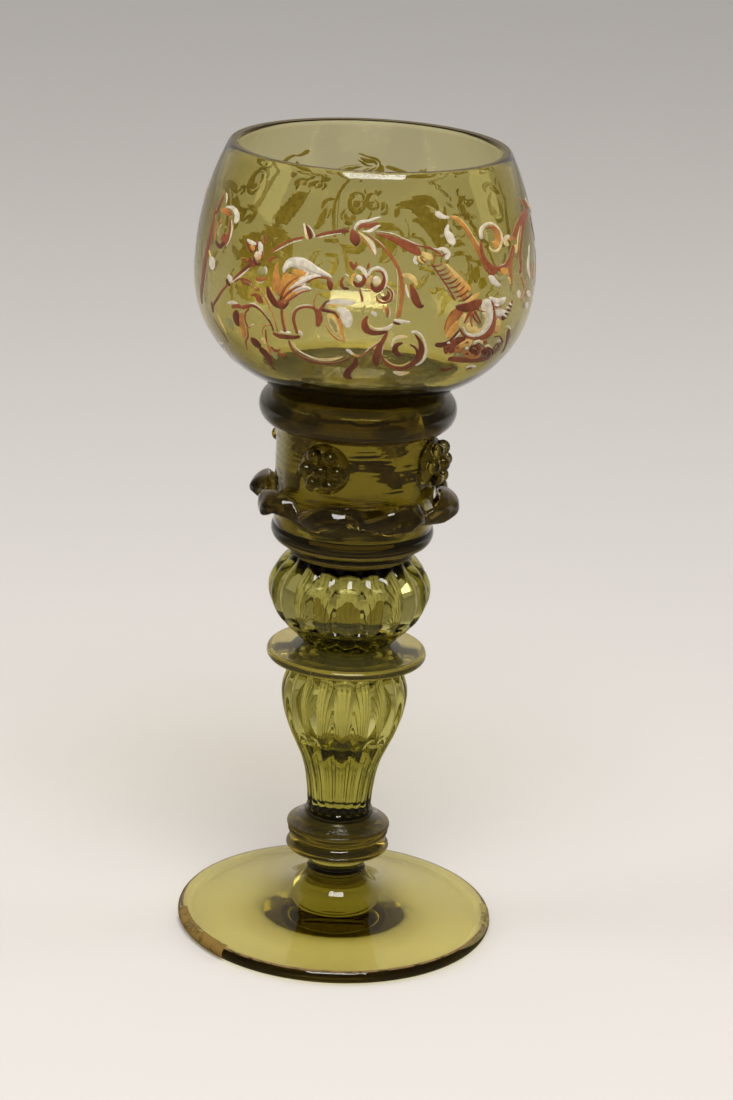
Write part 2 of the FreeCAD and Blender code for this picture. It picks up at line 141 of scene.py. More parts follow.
bpy.ops.mesh.primitive_plane_add(size=FLOOR_SIZE)
floor = bpy.context.object
floor.name = "floor"
floor_paint, tree, shader, output = new_material("floor_paint")
fill(tree, shader, {"Base Color": FLOOR_COLOUR, "Roughness": 0.9, "Specular IOR Level": 0.1})
dark_floor = add_node(tree, "BsdfDiffuse", {"Color": ROOM_FLOOR_COLOUR})
rays = add_node(tree, "LightPath", {}).outputs
place = add_node(tree, "TexCoord", {}).outputs["Object"]
across, along, _ = add_node(tree, "SeparateXYZ", {0: place}).outputs
off_middle = add_sum(tree, "ABSOLUTE", add_sum(tree, "ADD", across, -FLOOR_MIDDLE))
beside = add_sum(
    tree, "MULTIPLY", add_rise(tree, off_middle, *DARK_BESIDE), add_rise(tree, along, *DARK_BESIDE_NEAR),
)
far_aside = add_sum(tree, "MULTIPLY", add_rise(tree, off_middle, *DARK_FAR_ASIDE), FAR_DARKNESS)
bent = add_sum(tree, "MAXIMUM", beside, far_aside)
bent = add_sum(tree, "MAXIMUM", bent, add_rise(tree, along, *DARK_IN_FRONT))
bent = add_sum(tree, "MULTIPLY", bent, BENT_DARKNESS)
bent = add_sum(tree, "MULTIPLY", bent, rays["Is Transmission Ray"])
mirrored = add_sum(tree, "SUBTRACT", rays["Is Glossy Ray"], rays["Is Transmission Ray"])
mirrored = add_sum(tree, "MULTIPLY", mirrored, add_rise(tree, along, *MIRRORED_FLOOR))
seen_floor = add_node(tree, "MixShader", {
    0: add_sum(tree, "MAXIMUM", bent, mirrored), 1: shader.outputs[0], 2: dark_floor.outputs[0],
})
fill(tree, output, {"Surface": seen_floor.outputs[0]})
floor.data.materials.append(floor_paint)

world = bpy.data.worlds.new("studio")
scene.world = world
world.use_nodes = True
sky = world.node_tree
sky.nodes.clear()
rays = add_node(sky, "LightPath", {}).outputs
place = add_node(sky, "TexCoord", {}).outputs["Generated"]
across, along, _ = add_node(sky, "SeparateXYZ", {0: place}).outputs
off_middle = add_sum(sky, "ABSOLUTE", add_sum(sky, "ADD", across, -BACKDROP_MIDDLE))
bent = add_rise(sky, off_middle, *DARK_BACKDROP_ASIDE)
bent = add_sum(sky, "MAXIMUM", bent, add_rise(sky, along, *DARK_BACKDROP_IN_FRONT))
bent = add_sum(sky, "MULTIPLY", bent, BACKDROP_DARKNESS)
bent = add_sum(sky, "MULTIPLY", bent, rays["Is Transmission Ray"])
backdrop_colour = add_node(
    sky, "Mix", {"Factor": bent, "A": BACKDROP_COLOUR, "B": ROOM_FLOOR_COLOUR}, data_type="RGBA",
)
room_colour = add_node(
    sky, "Mix", {"Factor": add_rise(sky, along, *MIRRORED_BACKDROP), "A": ROOM_COLOUR, "B": BACKDROP_COLOUR},
    data_type="RGBA",
)
lighting = add_node(sky, "Background", {"Color": (1.0, 1.0, 1.0, 1.0), "Strength": WORLD_DIFFUSE_STRENGTH})
room = add_node(sky, "Background", {"Color": room_colour.outputs["Result"], "Strength": 1.0})
backdrop = add_node(sky, "Background", {"Color": backdrop_colour.outputs["Result"], "Strength": 1.0})
unseen = add_node(sky, "MixShader", {0: rays["Is Glossy Ray"], 1: lighting.outputs[0], 2: room.outputs[0]})
seen = add_sum(sky, "MAXIMUM", rays["Is Camera Ray"], rays["Is Transmission Ray"])
all_sky = add_node(sky, "MixShader", {0: seen, 1: unseen.outputs[0], 2: backdrop.outputs[0]})
add_node(sky, "OutputWorld", {"Surface": all_sky.outputs[0]})

LAMP_TARGET = Vector((0.0, 0.0, 0.13))
for name, place, width, height, power in (
    ("key_softbox", (0.07, -0.57, 1.17), 0.70, 0.42, 11.0),
    ("left_softbox", (-1.3, -0.2, 0.9), 0.6, 0.9, 6.0),
    ("right_softbox", (1.4, 0.3, 0.8), 0.6, 0.9, 5.0),
):
    bpy.ops.object.light_add(type="AREA", location=place)
    lamp = bpy.context.object
    lamp.name = name
    lamp.rotation_euler = (LAMP_TARGET - Vector(place)).to_track_quat("-Z", "Y").to_euler()
    lamp.data.shape = "RECTANGLE"
    lamp.data.size = width
    lamp.data.size_y = height
    lamp.data.energy = power
    lamp.visible_glossy = name == "key_softbox"

# Foot: a disc spun out of a solid gather, 99 mm across, with a rolled edge and a shallow hollow under
# it that has a low button in its middle. On top it rises in a flare to the stub that carries the stem,
# and gilding once covered its rim.
MM = 0.001
JOINT_DEPTH = 0.4
JOINT_STEP = 0.2
TOUCH = 0.02
JOINT_SLOT = 1
SHADOW_TINT = (0.92, 0.92, 0.92, 1.0)
TURNING_SIZE = 40.0
TURNING_STRETCH = 14.0


def arc(start, through, end, steps=10):
    """Points of a circular arc, its start left out, from three places on it."""
    ax, ay = start
    bx, by = through
    cx, cy = end
    turn = 2 * (ax * (by - cy) + bx * (cy - ay) + cx * (ay - by))
    sa, sb, sc = ax * ax + ay * ay, bx * bx + by * by, cx * cx + cy * cy
    ox = (sa * (by - cy) + sb * (cy - ay) + sc * (ay - by)) / turn
    oy = (sa * (cx - bx) + sb * (ax - cx) + sc * (bx - ax)) / turn
    radius = math.hypot(ax - ox, ay - oy)
    first, middle, last = [math.atan2(y - oy, x - ox) for x, y in (start, through, end)]
    anticlockwise = (middle - first) % math.tau < (last - first) % math.tau
    sweep = (last - first) % math.tau if anticlockwise else -((first - last) % math.tau)
    angles = [first + sweep * k / steps for k in range(1, steps + 1)]
    return [(ox + radius * math.cos(angle), oy + radius * math.sin(angle)) for angle in angles]


def draw(*steps):
    """An outline of (radius, height) in mm. A step is a place to go straight to, or an arc: a place that it
    goes through, its end and its number of parts.
    """
    line = []
    for step in steps:
        line += [step] if len(step) == 2 else arc(line[-1], *step)
    return line


def spin_line(name, points, segments, angle=math.tau, merge=MM / 100, ring=False):
    """A line drawn edge by edge from one point and spun about the axis. A ring that is spun only part of
    the way gets a face at each end.
    """
    bpy.ops.object.select_all(action="DESELECT")
    bpy.ops.mesh.primitive_plane_add(size=MM, location=(0, 0, 0))
    piece = bpy.context.object
    piece.name = name
    bpy.ops.object.mode_set(mode="EDIT")
    bpy.ops.mesh.select_all(action="SELECT")
    bpy.ops.mesh.merge(type="CENTER")
    bpy.ops.transform.translate(value=points[0])
    for here, there in zip(points, points[1:]):
        bpy.ops.mesh.extrude_region_move(TRANSFORM_OT_translate={"value": there - here})
    bpy.ops.mesh.select_all(action="SELECT")
    if ring:
        bpy.ops.mesh.remove_doubles(threshold=merge)
        bpy.ops.mesh.select_all(action="SELECT")
    if ring and angle < math.tau:
        bpy.ops.mesh.edge_face_add()
        bpy.ops.mesh.select_all(action="SELECT")
    bpy.ops.mesh.spin(steps=segments, angle=angle, center=(0, 0, 0), axis=(0, 0, 1))
    bpy.ops.mesh.select_all(action="SELECT")
    bpy.ops.mesh.remove_doubles(threshold=merge)
    bpy.ops.mesh.normals_make_consistent(inside=False)
    bpy.ops.object.mode_set(mode="OBJECT")
    return piece


def spin_up(name, outline, level, segments=96):
    """A turned piece, from its outline and the height of its foot."""
    points = [Vector((radius * MM, 0, level * MM + height * MM)) for radius, height in outline]
    return spin_line(name, points, segments)


def joint_below(outer, inner=0.0):
    """The end of a piece that is sunk a little in the glass below, where the two are fused."""
    start = [(0.0, -JOINT_DEPTH)] if inner == 0 else [(inner, 0.0), (inner + JOINT_STEP, -JOINT_DEPTH)]
    return start + [(outer - JOINT_STEP, -JOINT_DEPTH), (outer, 0.0)]


def fused_below(level, outer, inner=0.0):
    """Where the sunk end of a piece is: the heights and radii that its faces lie between."""
    return level - 2 * JOINT_DEPTH, level - TOUCH, inner, outer


def fused_above(level, outer, inner=0.0):
    """Where the flat end of a piece is that the next one is fused to."""
    return level - TOUCH, level + TOUCH, inner, outer


def top_of(node):
    """The height in mm at which a node of the frame ends."""
    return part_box(node)[1][2] / MM


def smooth(piece, degrees=40):
    """Rounds the shading, but keeps edges sharper than the angle."""
    bpy.ops.object.select_all(action="DESELECT")
    piece.select_set(True)
    bpy.context.view_layer.objects.active = piece
    bpy.ops.object.shade_smooth_by_angle(angle=math.radians(degrees))


def tint(tree, output, losses):
    """Colour in the mass of the glass, from what a metre of it takes from red, green and blue."""
    density = max(losses)
    colour = (*[1.0 - loss / density for loss in losses], 1.0)
    volume = add_node(tree, "VolumeAbsorption", {"Density": density, "Color": colour})
    fill(tree, output, {"Volume": volume.outputs["Volume"]})


def glass(name, losses, skin, ripple, ripple_size, turning=0.0, clearness=1.0):
    """Glass that is coloured in the mass, so thick places are darker than thin ones, and a little at its
    skin, with a soft ripple and with the fine rings that turning it at the fire leaves. What isn't clear
    is a thin film of worn gold and age.
    """
    material, tree, shader, output = new_material(name)
    fill(tree, shader, {
        "Base Color": (*skin, 1.0), "Roughness": 0.0, "IOR": 1.5, "Transmission Weight": clearness,
    })
    tint(tree, output, losses)
    shadow = add_node(tree, "BsdfTransparent", {"Color": SHADOW_TINT})
    rays = add_node(tree, "LightPath", {})
    either = add_node(tree, "MixShader", {
        0: rays.outputs["Is Shadow Ray"], 1: shader.outputs[0], 2: shadow.outputs[0],
    })
    fill(tree, output, {"Surface": either.outputs[0]})
    place = add_node(tree, "TexCoord", {}).outputs["Object"]
    below = {}
    for depth, size, stretch in ((ripple, ripple_size, 1.0), (turning, TURNING_SIZE, TURNING_STRETCH)):
        if depth:
            spread = add_node(tree, "Mapping", {"Vector": place, "Scale": (1.0, 1.0, stretch)})
            waves = add_node(tree, "TexNoise", {
                "Vector": spread.outputs["Vector"], "Scale": size, "Detail": 1.5,
            })
            bump = add_node(tree, "Bump", {
                "Strength": 1.0, "Distance": depth * MM, "Height": waves.outputs["Fac"], **below,
            })
            below = {"Normal": bump.outputs["Normal"]}
    fill(tree, shader, below)
    return material


def joint_glass(name, losses):
    """The same glass where two pieces are fused: its colour, but no surface to see."""
    material, tree, shader, output = new_material(name)
    tree.nodes.remove(shader)
    fill(tree, output, {"Surface": add_node(tree, "BsdfTransparent", {}).outputs[0]})
    tint(tree, output, losses)
    return material


def glasses(name, losses, skin, **look):
    """A glass and its joint glass."""
    return glass(name + "_glass", losses, skin, **look), joint_glass(name + "_joint", losses)


def dress(piece, node, slot, surface_and_joint, *joints):
    """Gives a piece its glass and, in the places that joints names, the fused glass."""
    for material in surface_and_joint:
        piece.data.materials.append(material)
    for face in piece.data.polygons:
        radius = math.hypot(face.center.x, face.center.y) / MM
        height = face.center.z / MM
        for low, high, inner, outer in joints:
            if low < height < high and inner < radius < outer:
                face.material_index = JOINT_SLOT
    smooth(piece)
    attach(piece, "root")
    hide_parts(node)


NECK_FOOT_RADIUS = 9.2
foot_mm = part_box("foot")[0][2] / MM
neck_mm = top_of("foot")
foot_outline = draw(
    (0.0, 1.7), (9.5, 1.7), ((10.4, 1.77), (11.25, 1.95), 4), ((12.1, 2.13), (13.0, 2.2), 4),
    (24.0, 2.2), ((34.0, 1.5), (45.2, 0.0), 12), (46.9, 0.0), (48.0, 0.2),
    ((49.7, 2.2), (48.1, 4.4), 14), ((30.0, 6.9), (14.0, 11.6), 22),
    ((10.4, 15.2), (NECK_FOOT_RADIUS, 18.5), 10), (0.0, 18.5),
)
foot_glasses = glasses(
    "foot", (32.0, 36.0, 95.0), (0.80, 0.76, 0.46), ripple=0.06, ripple_size=45.0, turning=0.012,
)
foot = spin_up("foot_disc", foot_outline, foot_mm, 128)
dress(foot, "foot", "foot_glass", foot_glasses, fused_above(neck_mm, NECK_FOOT_RADIUS))

# Neck: a short solid waist of bright glass between the foot and the first merese.
NECK_WAIST_RADIUS = 8.8
NECK_TOP_RADIUS = 9.6
NECK_HEIGHT = 4.3
merese_mm = top_of("stem_neck")
neck_outline = draw(
    *joint_below(NECK_FOOT_RADIUS),
    ((NECK_WAIST_RADIUS, NECK_HEIGHT / 2), (NECK_TOP_RADIUS, NECK_HEIGHT), 8), (0.0, NECK_HEIGHT),
)
neck = spin_up("neck_waist", neck_outline, neck_mm)
dress(
    neck, "stem_neck", "foot_glass", foot_glasses,
    fused_below(neck_mm, NECK_FOOT_RADIUS), fused_above(merese_mm, NECK_TOP_RADIUS),
)

# Mereses: two discs pressed out between the parts of the stem while hot, thin and rounded at the edge.
MERESE_RADIUS = 16.2
MERESE_EDGE_ROUNDING = 0.7
MERESE_EDGE_HALF = 0.8
MERESE_SWELL_HALF = 1.9
MERESE_SWELL_BELOW = 2.6
MERESE_SWELL_ABOVE = 2.2
MERESE_JOINT_RADIUS = 13.2
BALUSTER_SEAT_RADIUS = 10.7
stem_glasses = glasses(
    "stem", (12.0, 14.0, 40.0), (0.60, 0.47, 0.12), ripple=0.04, ripple_size=90.0, clearness=0.97,
)


def merese(name, node, level, lower_radius, upper_radius):
    """A disc that swells a little on its way from each joint to its thin edge."""
    top = top_of(node)
    middle = (top - level) / 2
    edge_radius = MERESE_RADIUS - MERESE_EDGE_ROUNDING
    outline = draw(
        *joint_below(lower_radius),
        ((lower_radius + MERESE_SWELL_BELOW, middle - MERESE_SWELL_HALF),
         (edge_radius, middle - MERESE_EDGE_HALF), 6),
        ((MERESE_RADIUS, middle), (edge_radius, middle + MERESE_EDGE_HALF), 8),
        ((upper_radius + MERESE_SWELL_ABOVE, middle + MERESE_SWELL_HALF),
         (upper_radius, top - level), 6),
        (0.0, top - level),
    )
    dress(
        spin_up(name, outline, level), node, "stem_glass", stem_glasses,
        fused_below(level, lower_radius), fused_above(top, upper_radius),
    )


merese("lower_merese_disc", "lower_merese", merese_mm, NECK_TOP_RADIUS, MERESE_JOINT_RADIUS)
merese(
    "upper_merese_disc", "upper_merese", top_of("lower_merese"), MERESE_JOINT_RADIUS, BALUSTER_SEAT_RADIUS,
)

# Baluster: a bubble blown into a ribbed mould, drawn out slender below and left full at the shoulder.
# The shoulder is hollow, the slender part is nearly solid.
RIBS = 20
RIB_SEGMENTS = 10
RIB_BLUNTNESS = 0.9
RIB_RUN_OUT = 1.5


def round_line(points, steps=4):
    """A smooth line through the points, its first point left out."""
    line = []
    for index in range(len(points) - 1):
        before = points[max(index - 1, 0)]
        here, there = points[index], points[index + 1]
        after = points[min(index + 2, len(points) - 1)]
        for k in range(1, steps + 1):
            t = k / steps
            line.append(tuple(
                0.5 * (2 * b + (c - a) * t + (2 * a - 5 * b + 4 * c - d) * t * t
                       + (3 * b - a - 3 * c + d) * t * t * t)
                for a, b, c, d in zip(before, here, there, after)
            ))
    return line


def press_ribs(piece, low, high, outside, depth, widest):
    """Draws the outside in between the ribs, as the mould does, deepest where the bubble is widest. What is
    outside lies, up to each height, beyond the radius that stands with it.
    """
    for vertex in piece.data.vertices:
        radius = math.hypot(vertex.co.x, vertex.co.y) / MM
        height = vertex.co.z / MM
        if low < height < high and radius > next(least for top, least in outside if height < top):
            crest = abs(math.cos(math.atan2(vertex.co.y, vertex.co.x) * RIBS / 2))
            drawn = depth * (1 - crest ** RIB_BLUNTNESS) * radius / widest
            ease = min(1.0, (height - low) / RIB_RUN_OUT, (high - height) / RIB_RUN_OUT)
            share = 1 - drawn * ease / radius
            vertex.co.x *= share
            vertex.co.y *= share


BALUSTER_RADIUS = 19.6
BALUSTER_HEIGHT = 51.2
BALUSTER_SEAT_HEIGHT = 2.4
BALUSTER_RIB_DEPTH = 1.2
BALUSTER_GIRTHS = [
    (0.0, 0.505), (0.12, 0.53), (0.24, 0.575), (0.35, 0.655), (0.45, 0.765), (0.55, 0.875),
    (0.66, 0.96), (0.78, 1.0), (0.88, 0.965), (1.0, 0.83),
]
BUBBLE_THROAT = 9.0
BALUSTER_BUBBLE_FOOT = 20.0
BALUSTER_BUBBLE = [
    (BUBBLE_THROAT, 49.5), (11.5, 48.2), (14.6, 45.2), (16.0, 40.5), (15.2, 34.5), (13.0, 29.0),
    (9.4, 24.4), (0.01, BALUSTER_BUBBLE_FOOT),
]
baluster_mm = top_of("upper_merese")
flange_mm = top_of("baluster")
ribbed_glasses = glasses(
    "ribbed", (36.0, 38.5, 105.0), (0.82, 0.795, 0.48), ripple=0.03, ripple_size=110.0, turning=0.015,
)
ribbed_height = BALUSTER_HEIGHT - BALUSTER_SEAT_HEIGHT
girth = [(BALUSTER_RADIUS * g, BALUSTER_SEAT_HEIGHT + ribbed_height * s) for s, g in BALUSTER_GIRTHS]
baluster_top_radius = girth[-1][0]
baluster_outline = draw(
    *joint_below(BALUSTER_SEAT_RADIUS), (BALUSTER_SEAT_RADIUS, 0.9), (BALUSTER_SEAT_RADIUS - 0.2, 1.8),
    girth[0], *round_line(girth, 5), (BUBBLE_THROAT, BALUSTER_HEIGHT), BALUSTER_BUBBLE[0],
    *round_line(BALUSTER_BUBBLE)[:-1], (0.0, BALUSTER_BUBBLE_FOOT),
)
baluster = spin_up("ribbed_baluster", baluster_outline, baluster_mm, RIBS * RIB_SEGMENTS)
baluster_outside = [
    (baluster_mm + 19.0, 5.0), (baluster_mm + 28.0, BALUSTER_RADIUS * 0.62),
    (math.inf, BALUSTER_RADIUS * 0.83),
]
press_ribs(
    baluster, baluster_mm + BALUSTER_SEAT_HEIGHT - 0.1, flange_mm + 0.5, baluster_outside,
    BALUSTER_RIB_DEPTH, BALUSTER_RADIUS,
)
dress(
    baluster, "baluster", "ribbed_glass", ribbed_glasses, fused_below(baluster_mm, BALUSTER_SEAT_RADIUS),
    fused_above(flange_mm, baluster_top_radius + 0.1, BUBBLE_THROAT),
)

# Flange: a wide thin disc, dished on top, that parts the two ribbed bubbles.
FLANGE_RADIUS = 24.8
KNOP_RADIUS = 25.0
knop_mm = top_of("middle_flange")
knop_seat_radius = KNOP_RADIUS * 0.535
flange_outline = draw(
    (0.0, 0.0), *joint_below(baluster_top_radius - 0.9, BUBBLE_THROAT), (FLANGE_RADIUS - 0.7, 1.5),
    ((FLANGE_RADIUS, 2.6), (FLANGE_RADIUS - 2.0, 4.3), 12),
    ((19.0, 4.65), (knop_seat_radius, knop_mm - flange_mm), 12), (0.0, knop_mm - flange_mm),
)
flange_glass = glass(
    "flange_glass", (8.0, 9.0, 28.0), (0.61, 0.52, 0.17), ripple=0.06, ripple_size=60.0, clearness=0.95,
)
dress(
    spin_up("dished_flange", flange_outline, flange_mm), "middle_flange", "stem_glass",
    (flange_glass, stem_glasses[1]), fused_below(flange_mm, baluster_top_radius, BUBBLE_THROAT),
    fused_above(knop_mm, knop_seat_radius),
)

# Knop: a squat bubble from the same mould, blown wide, thin in the wall and open under the capstan.
KNOP_HEIGHT = 28.9
KNOP_RIB_DEPTH = 1.55
KNOP_GIRTHS = [
    (0.0, 0.535), (0.11, 0.66), (0.22, 0.79), (0.33, 0.895), (0.45, 0.965), (0.57, 1.0),
    (0.69, 0.99), (0.80, 0.935), (0.90, 0.85), (1.0, 0.735),
]
KNOP_BUBBLE_FOOT = 4.6
KNOP_BUBBLE = [
    (BUBBLE_THROAT, 27.3), (13.0, 26.4), (17.6, 24.6), (20.9, 20.9), (21.8, 16.0), (20.6, 11.0),
    (15.6, 6.6), (0.01, KNOP_BUBBLE_FOOT),
]
capstan_mm = top_of("ribbed_knop")
knop_girth = [(KNOP_RADIUS * g, KNOP_HEIGHT * s) for s, g in KNOP_GIRTHS]
knop_top_radius = knop_girth[-1][0]
knop_outline = draw(
    *joint_below(knop_girth[0][0] - 0.7), knop_girth[0], *round_line(knop_girth, 5),
    (BUBBLE_THROAT, KNOP_HEIGHT), KNOP_BUBBLE[0], *round_line(KNOP_BUBBLE)[:-1], (0.0, KNOP_BUBBLE_FOOT),
)
knop = spin_up("ribbed_knop_bubble", knop_outline, knop_mm, RIBS * RIB_SEGMENTS)
knop_outside = [
    (knop_mm + 4.5, 10.0), (knop_mm + 7.0, 17.0), (capstan_mm - 5.0, KNOP_RADIUS * 0.885),
    (math.inf, KNOP_RADIUS * 0.72),
]
press_ribs(knop, knop_mm - 0.3, capstan_mm + 0.3, knop_outside, KNOP_RIB_DEPTH, KNOP_RADIUS)
knop_glasses = glasses(
    "knop", (54.0, 57.5, 140.0), (0.78, 0.755, 0.45), ripple=0.03, ripple_size=110.0, turning=0.015,
)
dress(
    knop, "ribbed_knop", "ribbed_glass", knop_glasses, fused_below(knop_mm, knop_seat_radius),
    fused_above(capstan_mm, knop_top_radius + 0.1, BUBBLE_THROAT),
)

# Capstan: a low disc with a rounded side that closes the knop, of the dark glass of the ring, the trail
# and the collar.
CAPSTAN_TOP_RADIUS = 19.2
dark_glasses = glasses(
    "dark", (10.0, 12.0, 32.0), (0.28, 0.215, 0.07), ripple=0.04, ripple_size=80.0, clearness=0.975,
)
ring_mm = top_of("capstan")
capstan_outline = draw(
    (0.0, 0.0), *joint_below(knop_top_radius - 1.1, BUBBLE_THROAT),
    ((19.8, 1.9), (CAPSTAN_TOP_RADIUS, ring_mm - capstan_mm), 10), (0.0, ring_mm - capstan_mm),
)
dress(
    spin_up("capstan_disc", capstan_outline, capstan_mm), "capstan", "stem_glass", dark_glasses,
    fused_below(capstan_mm, knop_top_radius, BUBBLE_THROAT), fused_above(ring_mm, CAPSTAN_TOP_RADIUS),
)

# Cylinder ring: a thick rounded disc that closes the cylinder from below.
CYLINDER_RADIUS = 24.4
CYLINDER_BORE = 21.4
RING_HEIGHT = 6.0
cylinder_mm = top_of("cylinder_ring")
ring_outline = draw(
    *joint_below(CAPSTAN_TOP_RADIUS), (20.4, 0.05), ((24.9, 3.0), (CYLINDER_RADIUS, RING_HEIGHT), 14),
    (CYLINDER_BORE, RING_HEIGHT), (0.0, RING_HEIGHT),
)
dress(
    spin_up("cylinder_ring_disc", ring_outline, ring_mm), "cylinder_ring", "stem_glass", dark_glasses,
    fused_below(ring_mm, CAPSTAN_TOP_RADIUS), fused_above(cylinder_mm, CYLINDER_RADIUS, CYLINDER_BORE),
)

# Cylinder: a plain hollow drum, 49 mm across, its wall 3 mm thick.
CYLINDER_BANDS = 6
cylinder_glasses = glasses(
    "cylinder", (46.0, 52.0, 130.0), (0.53, 0.47, 0.16), ripple=0.18, ripple_size=60.0, turning=0.16,
)
collar_mm = top_of("prunted_cylinder")
band_heights = [(collar_mm - cylinder_mm) * k / CYLINDER_BANDS for k in range(CYLINDER_BANDS + 1)]
cylinder_outline = draw(
    *joint_below(CYLINDER_RADIUS, CYLINDER_BORE),
    *[(CYLINDER_RADIUS, height) for height in band_heights[1:]],
    *[(CYLINDER_BORE, height) for height in band_heights[::-1]],
)
dress(
    spin_up("hollow_drum", cylinder_outline, cylinder_mm), "prunted_cylinder", "cylinder_glass",
    cylinder_glasses, fused_below(cylinder_mm, CYLINDER_RADIUS, CYLINDER_BORE),
    fused_above(collar_mm, CYLINDER_RADIUS, CYLINDER_BORE),
)

# Trail: a thread of dark glass laid round the cylinder while soft and pinched into eight waves that
# stand out and rise to the right. The shape is its reach, its lift and its thickness, as shares, at
# places along one wave.
TRAIL_WAVES = 8
TRAIL_FIRST_AZIMUTH = 7.7
TRAIL_HEIGHT = 8.6
TRAIL_THICKNESS = 4.6
TRAIL_SUNK = 0.5
TRAIL_REACH = 3.6
TRAIL_RISE = 3.6
TRAIL_TILT = (-40, 55)
TRAIL_HALF_SIDES = ((1.6, 2.2), (2.7, 4.3))
TRAIL_WALL_LEFT = 1.2
TRAIL_SHAPE = [
    (0.0, 0.0, 0.0, 0.0), (0.17, 0.45, 0.15, 0.40), (0.35, 0.85, 0.45, 0.85), (0.55, 1.0, 0.80, 1.0),
    (0.74, 0.75, 1.0, 0.70), (0.90, 0.30, 0.70, 0.25), (1.0, 0.0, 0.0, 0.0),
]


def wave_shape(place):
    """Reach, lift and thickness of the trail at a place along one wave."""
    low, high = next((low, high) for low, high in zip(TRAIL_SHAPE, TRAIL_SHAPE[1:]) if place <= high[0])
    t = (place - low[0]) / (high[0] - low[0])
    t = t * t * (3 - 2 * t)
    return [a + (b - a) * t for a, b in zip(low[1:], high[1:])]


trail_core = CYLINDER_RADIUS + TRAIL_THICKNESS / 2 - TRAIL_SUNK
trail_mm = cylinder_mm + TRAIL_HEIGHT
bpy.ops.object.select_all(action="DESELECT")
bpy.ops.mesh.primitive_torus_add(
    major_radius=trail_core * MM, minor_radius=MM, major_segments=128, minor_segments=16,
    location=(0, 0, trail_mm * MM),
)
trail = bpy.context.object
trail.name = "waved_trail"
bpy.ops.object.transform_apply(location=True, rotation=True, scale=True)
for vertex in trail.data.vertices:
    azimuth = math.atan2(vertex.co.y, vertex.co.x)
    degrees = math.degrees(azimuth) - TRAIL_FIRST_AZIMUTH
    reach, lift, swell = wave_shape(degrees * TRAIL_WAVES / 360 % 1)
    thin, tall = [slim + (full - slim) * swell for slim, full in TRAIL_HALF_SIDES]
    across = (math.hypot(vertex.co.x, vertex.co.y) / MM - trail_core) * thin
    along = (vertex.co.z / MM - trail_mm) * tall
    tilt = math.radians(TRAIL_TILT[0] + (TRAIL_TILT[1] - TRAIL_TILT[0]) * lift)
    out = trail_core + TRAIL_REACH * reach + across * math.cos(tilt) - along * math.sin(tilt)
    out = max(out, CYLINDER_BORE + TRAIL_WALL_LEFT)
    rise = across * math.sin(tilt) + along * math.cos(tilt) + TRAIL_RISE * (lift - 0.5)
    vertex.co = Vector((
        out * MM * math.cos(azimuth), out * MM * math.sin(azimuth), (trail_mm + rise) * MM,
    ))
trail_glasses = glasses(
    "trail", (110.0, 125.0, 240.0), (0.27, 0.21, 0.08), ripple=0.05, ripple_size=90.0, clearness=0.98,
)
dress(trail, "pinched_trail", "stem_glass", trail_glasses)

# Prunts: four pads of soft glass laid on the cylinder, each pressed with a raspberry stamp that leaves a
# ring of round bosses and one in the middle.
PRUNT_HEIGHT = 23.0
PRUNT_RADIUS = 7.9
PRUNT_FLATNESS = 0.44
PRUNT_AZIMUTHS = (59.0, 140.0, 248.4, 338.4)
BOSSES_ROUND = 6
BOSS_RING_RADIUS = 5.0
PRUNT_SUNK = 0.5
prunt_glasses = glasses("prunt", (75.0, 86.0, 190.0), (0.78, 0.73, 0.46), ripple=0.03, ripple_size=120.0)
bosses = [(0.0, 0.0, 2.5, 3.7)]
for k in range(BOSSES_ROUND):
    turn = k * math.tau / BOSSES_ROUND
    bosses.append((BOSS_RING_RADIUS * math.cos(turn), BOSS_RING_RADIUS * math.sin(turn), 2.3, 2.7))
for number, azimuth in enumerate(PRUNT_AZIMUTHS, 1):
    bpy.ops.object.select_all(action="DESELECT")
    drops = []
    for across, along, radius, rise in bosses:
        bpy.ops.mesh.primitive_uv_sphere_add(
            segments=20, ring_count=12, radius=radius * MM,
            location=((CYLINDER_RADIUS + rise) * MM, across * MM, along * MM),
        )
        drops.append(bpy.context.object)
    bpy.ops.mesh.primitive_uv_sphere_add(
        segments=32, ring_count=16, radius=PRUNT_RADIUS * MM, scale=(PRUNT_FLATNESS, 1, 1),
        location=((CYLINDER_RADIUS - 0.6) * MM, 0, 0),
    )
    pad = bpy.context.object
    for drop in drops:
        drop.select_set(True)
    bpy.ops.object.join()
    pad.name = f"raspberry_prunt_{number}"
    bpy.ops.object.transform_apply(location=True, rotation=True, scale=True)
    pad.data.remesh_voxel_size = 0.3 * MM
    bpy.ops.object.voxel_remesh()
    soften = pad.modifiers.new("soften", "SMOOTH")
    soften.iterations = 3
    bpy.ops.object.modifier_apply(modifier="soften")
    lifted = Matrix.Translation((0, 0, (cylinder_mm + PRUNT_HEIGHT) * MM))
    pad.data.transform(lifted @ Matrix.Rotation(math.radians(azimuth), 4, "Z"))
    for vertex in pad.data.vertices:
        radius = math.hypot(vertex.co.x, vertex.co.y) / MM
        share = max(1.0, (CYLINDER_RADIUS - PRUNT_SUNK) / radius)
        vertex.co.x *= share
        vertex.co.y *= share
    dress(pad, f"prunt_{number}", "cylinder_glass", prunt_glasses)

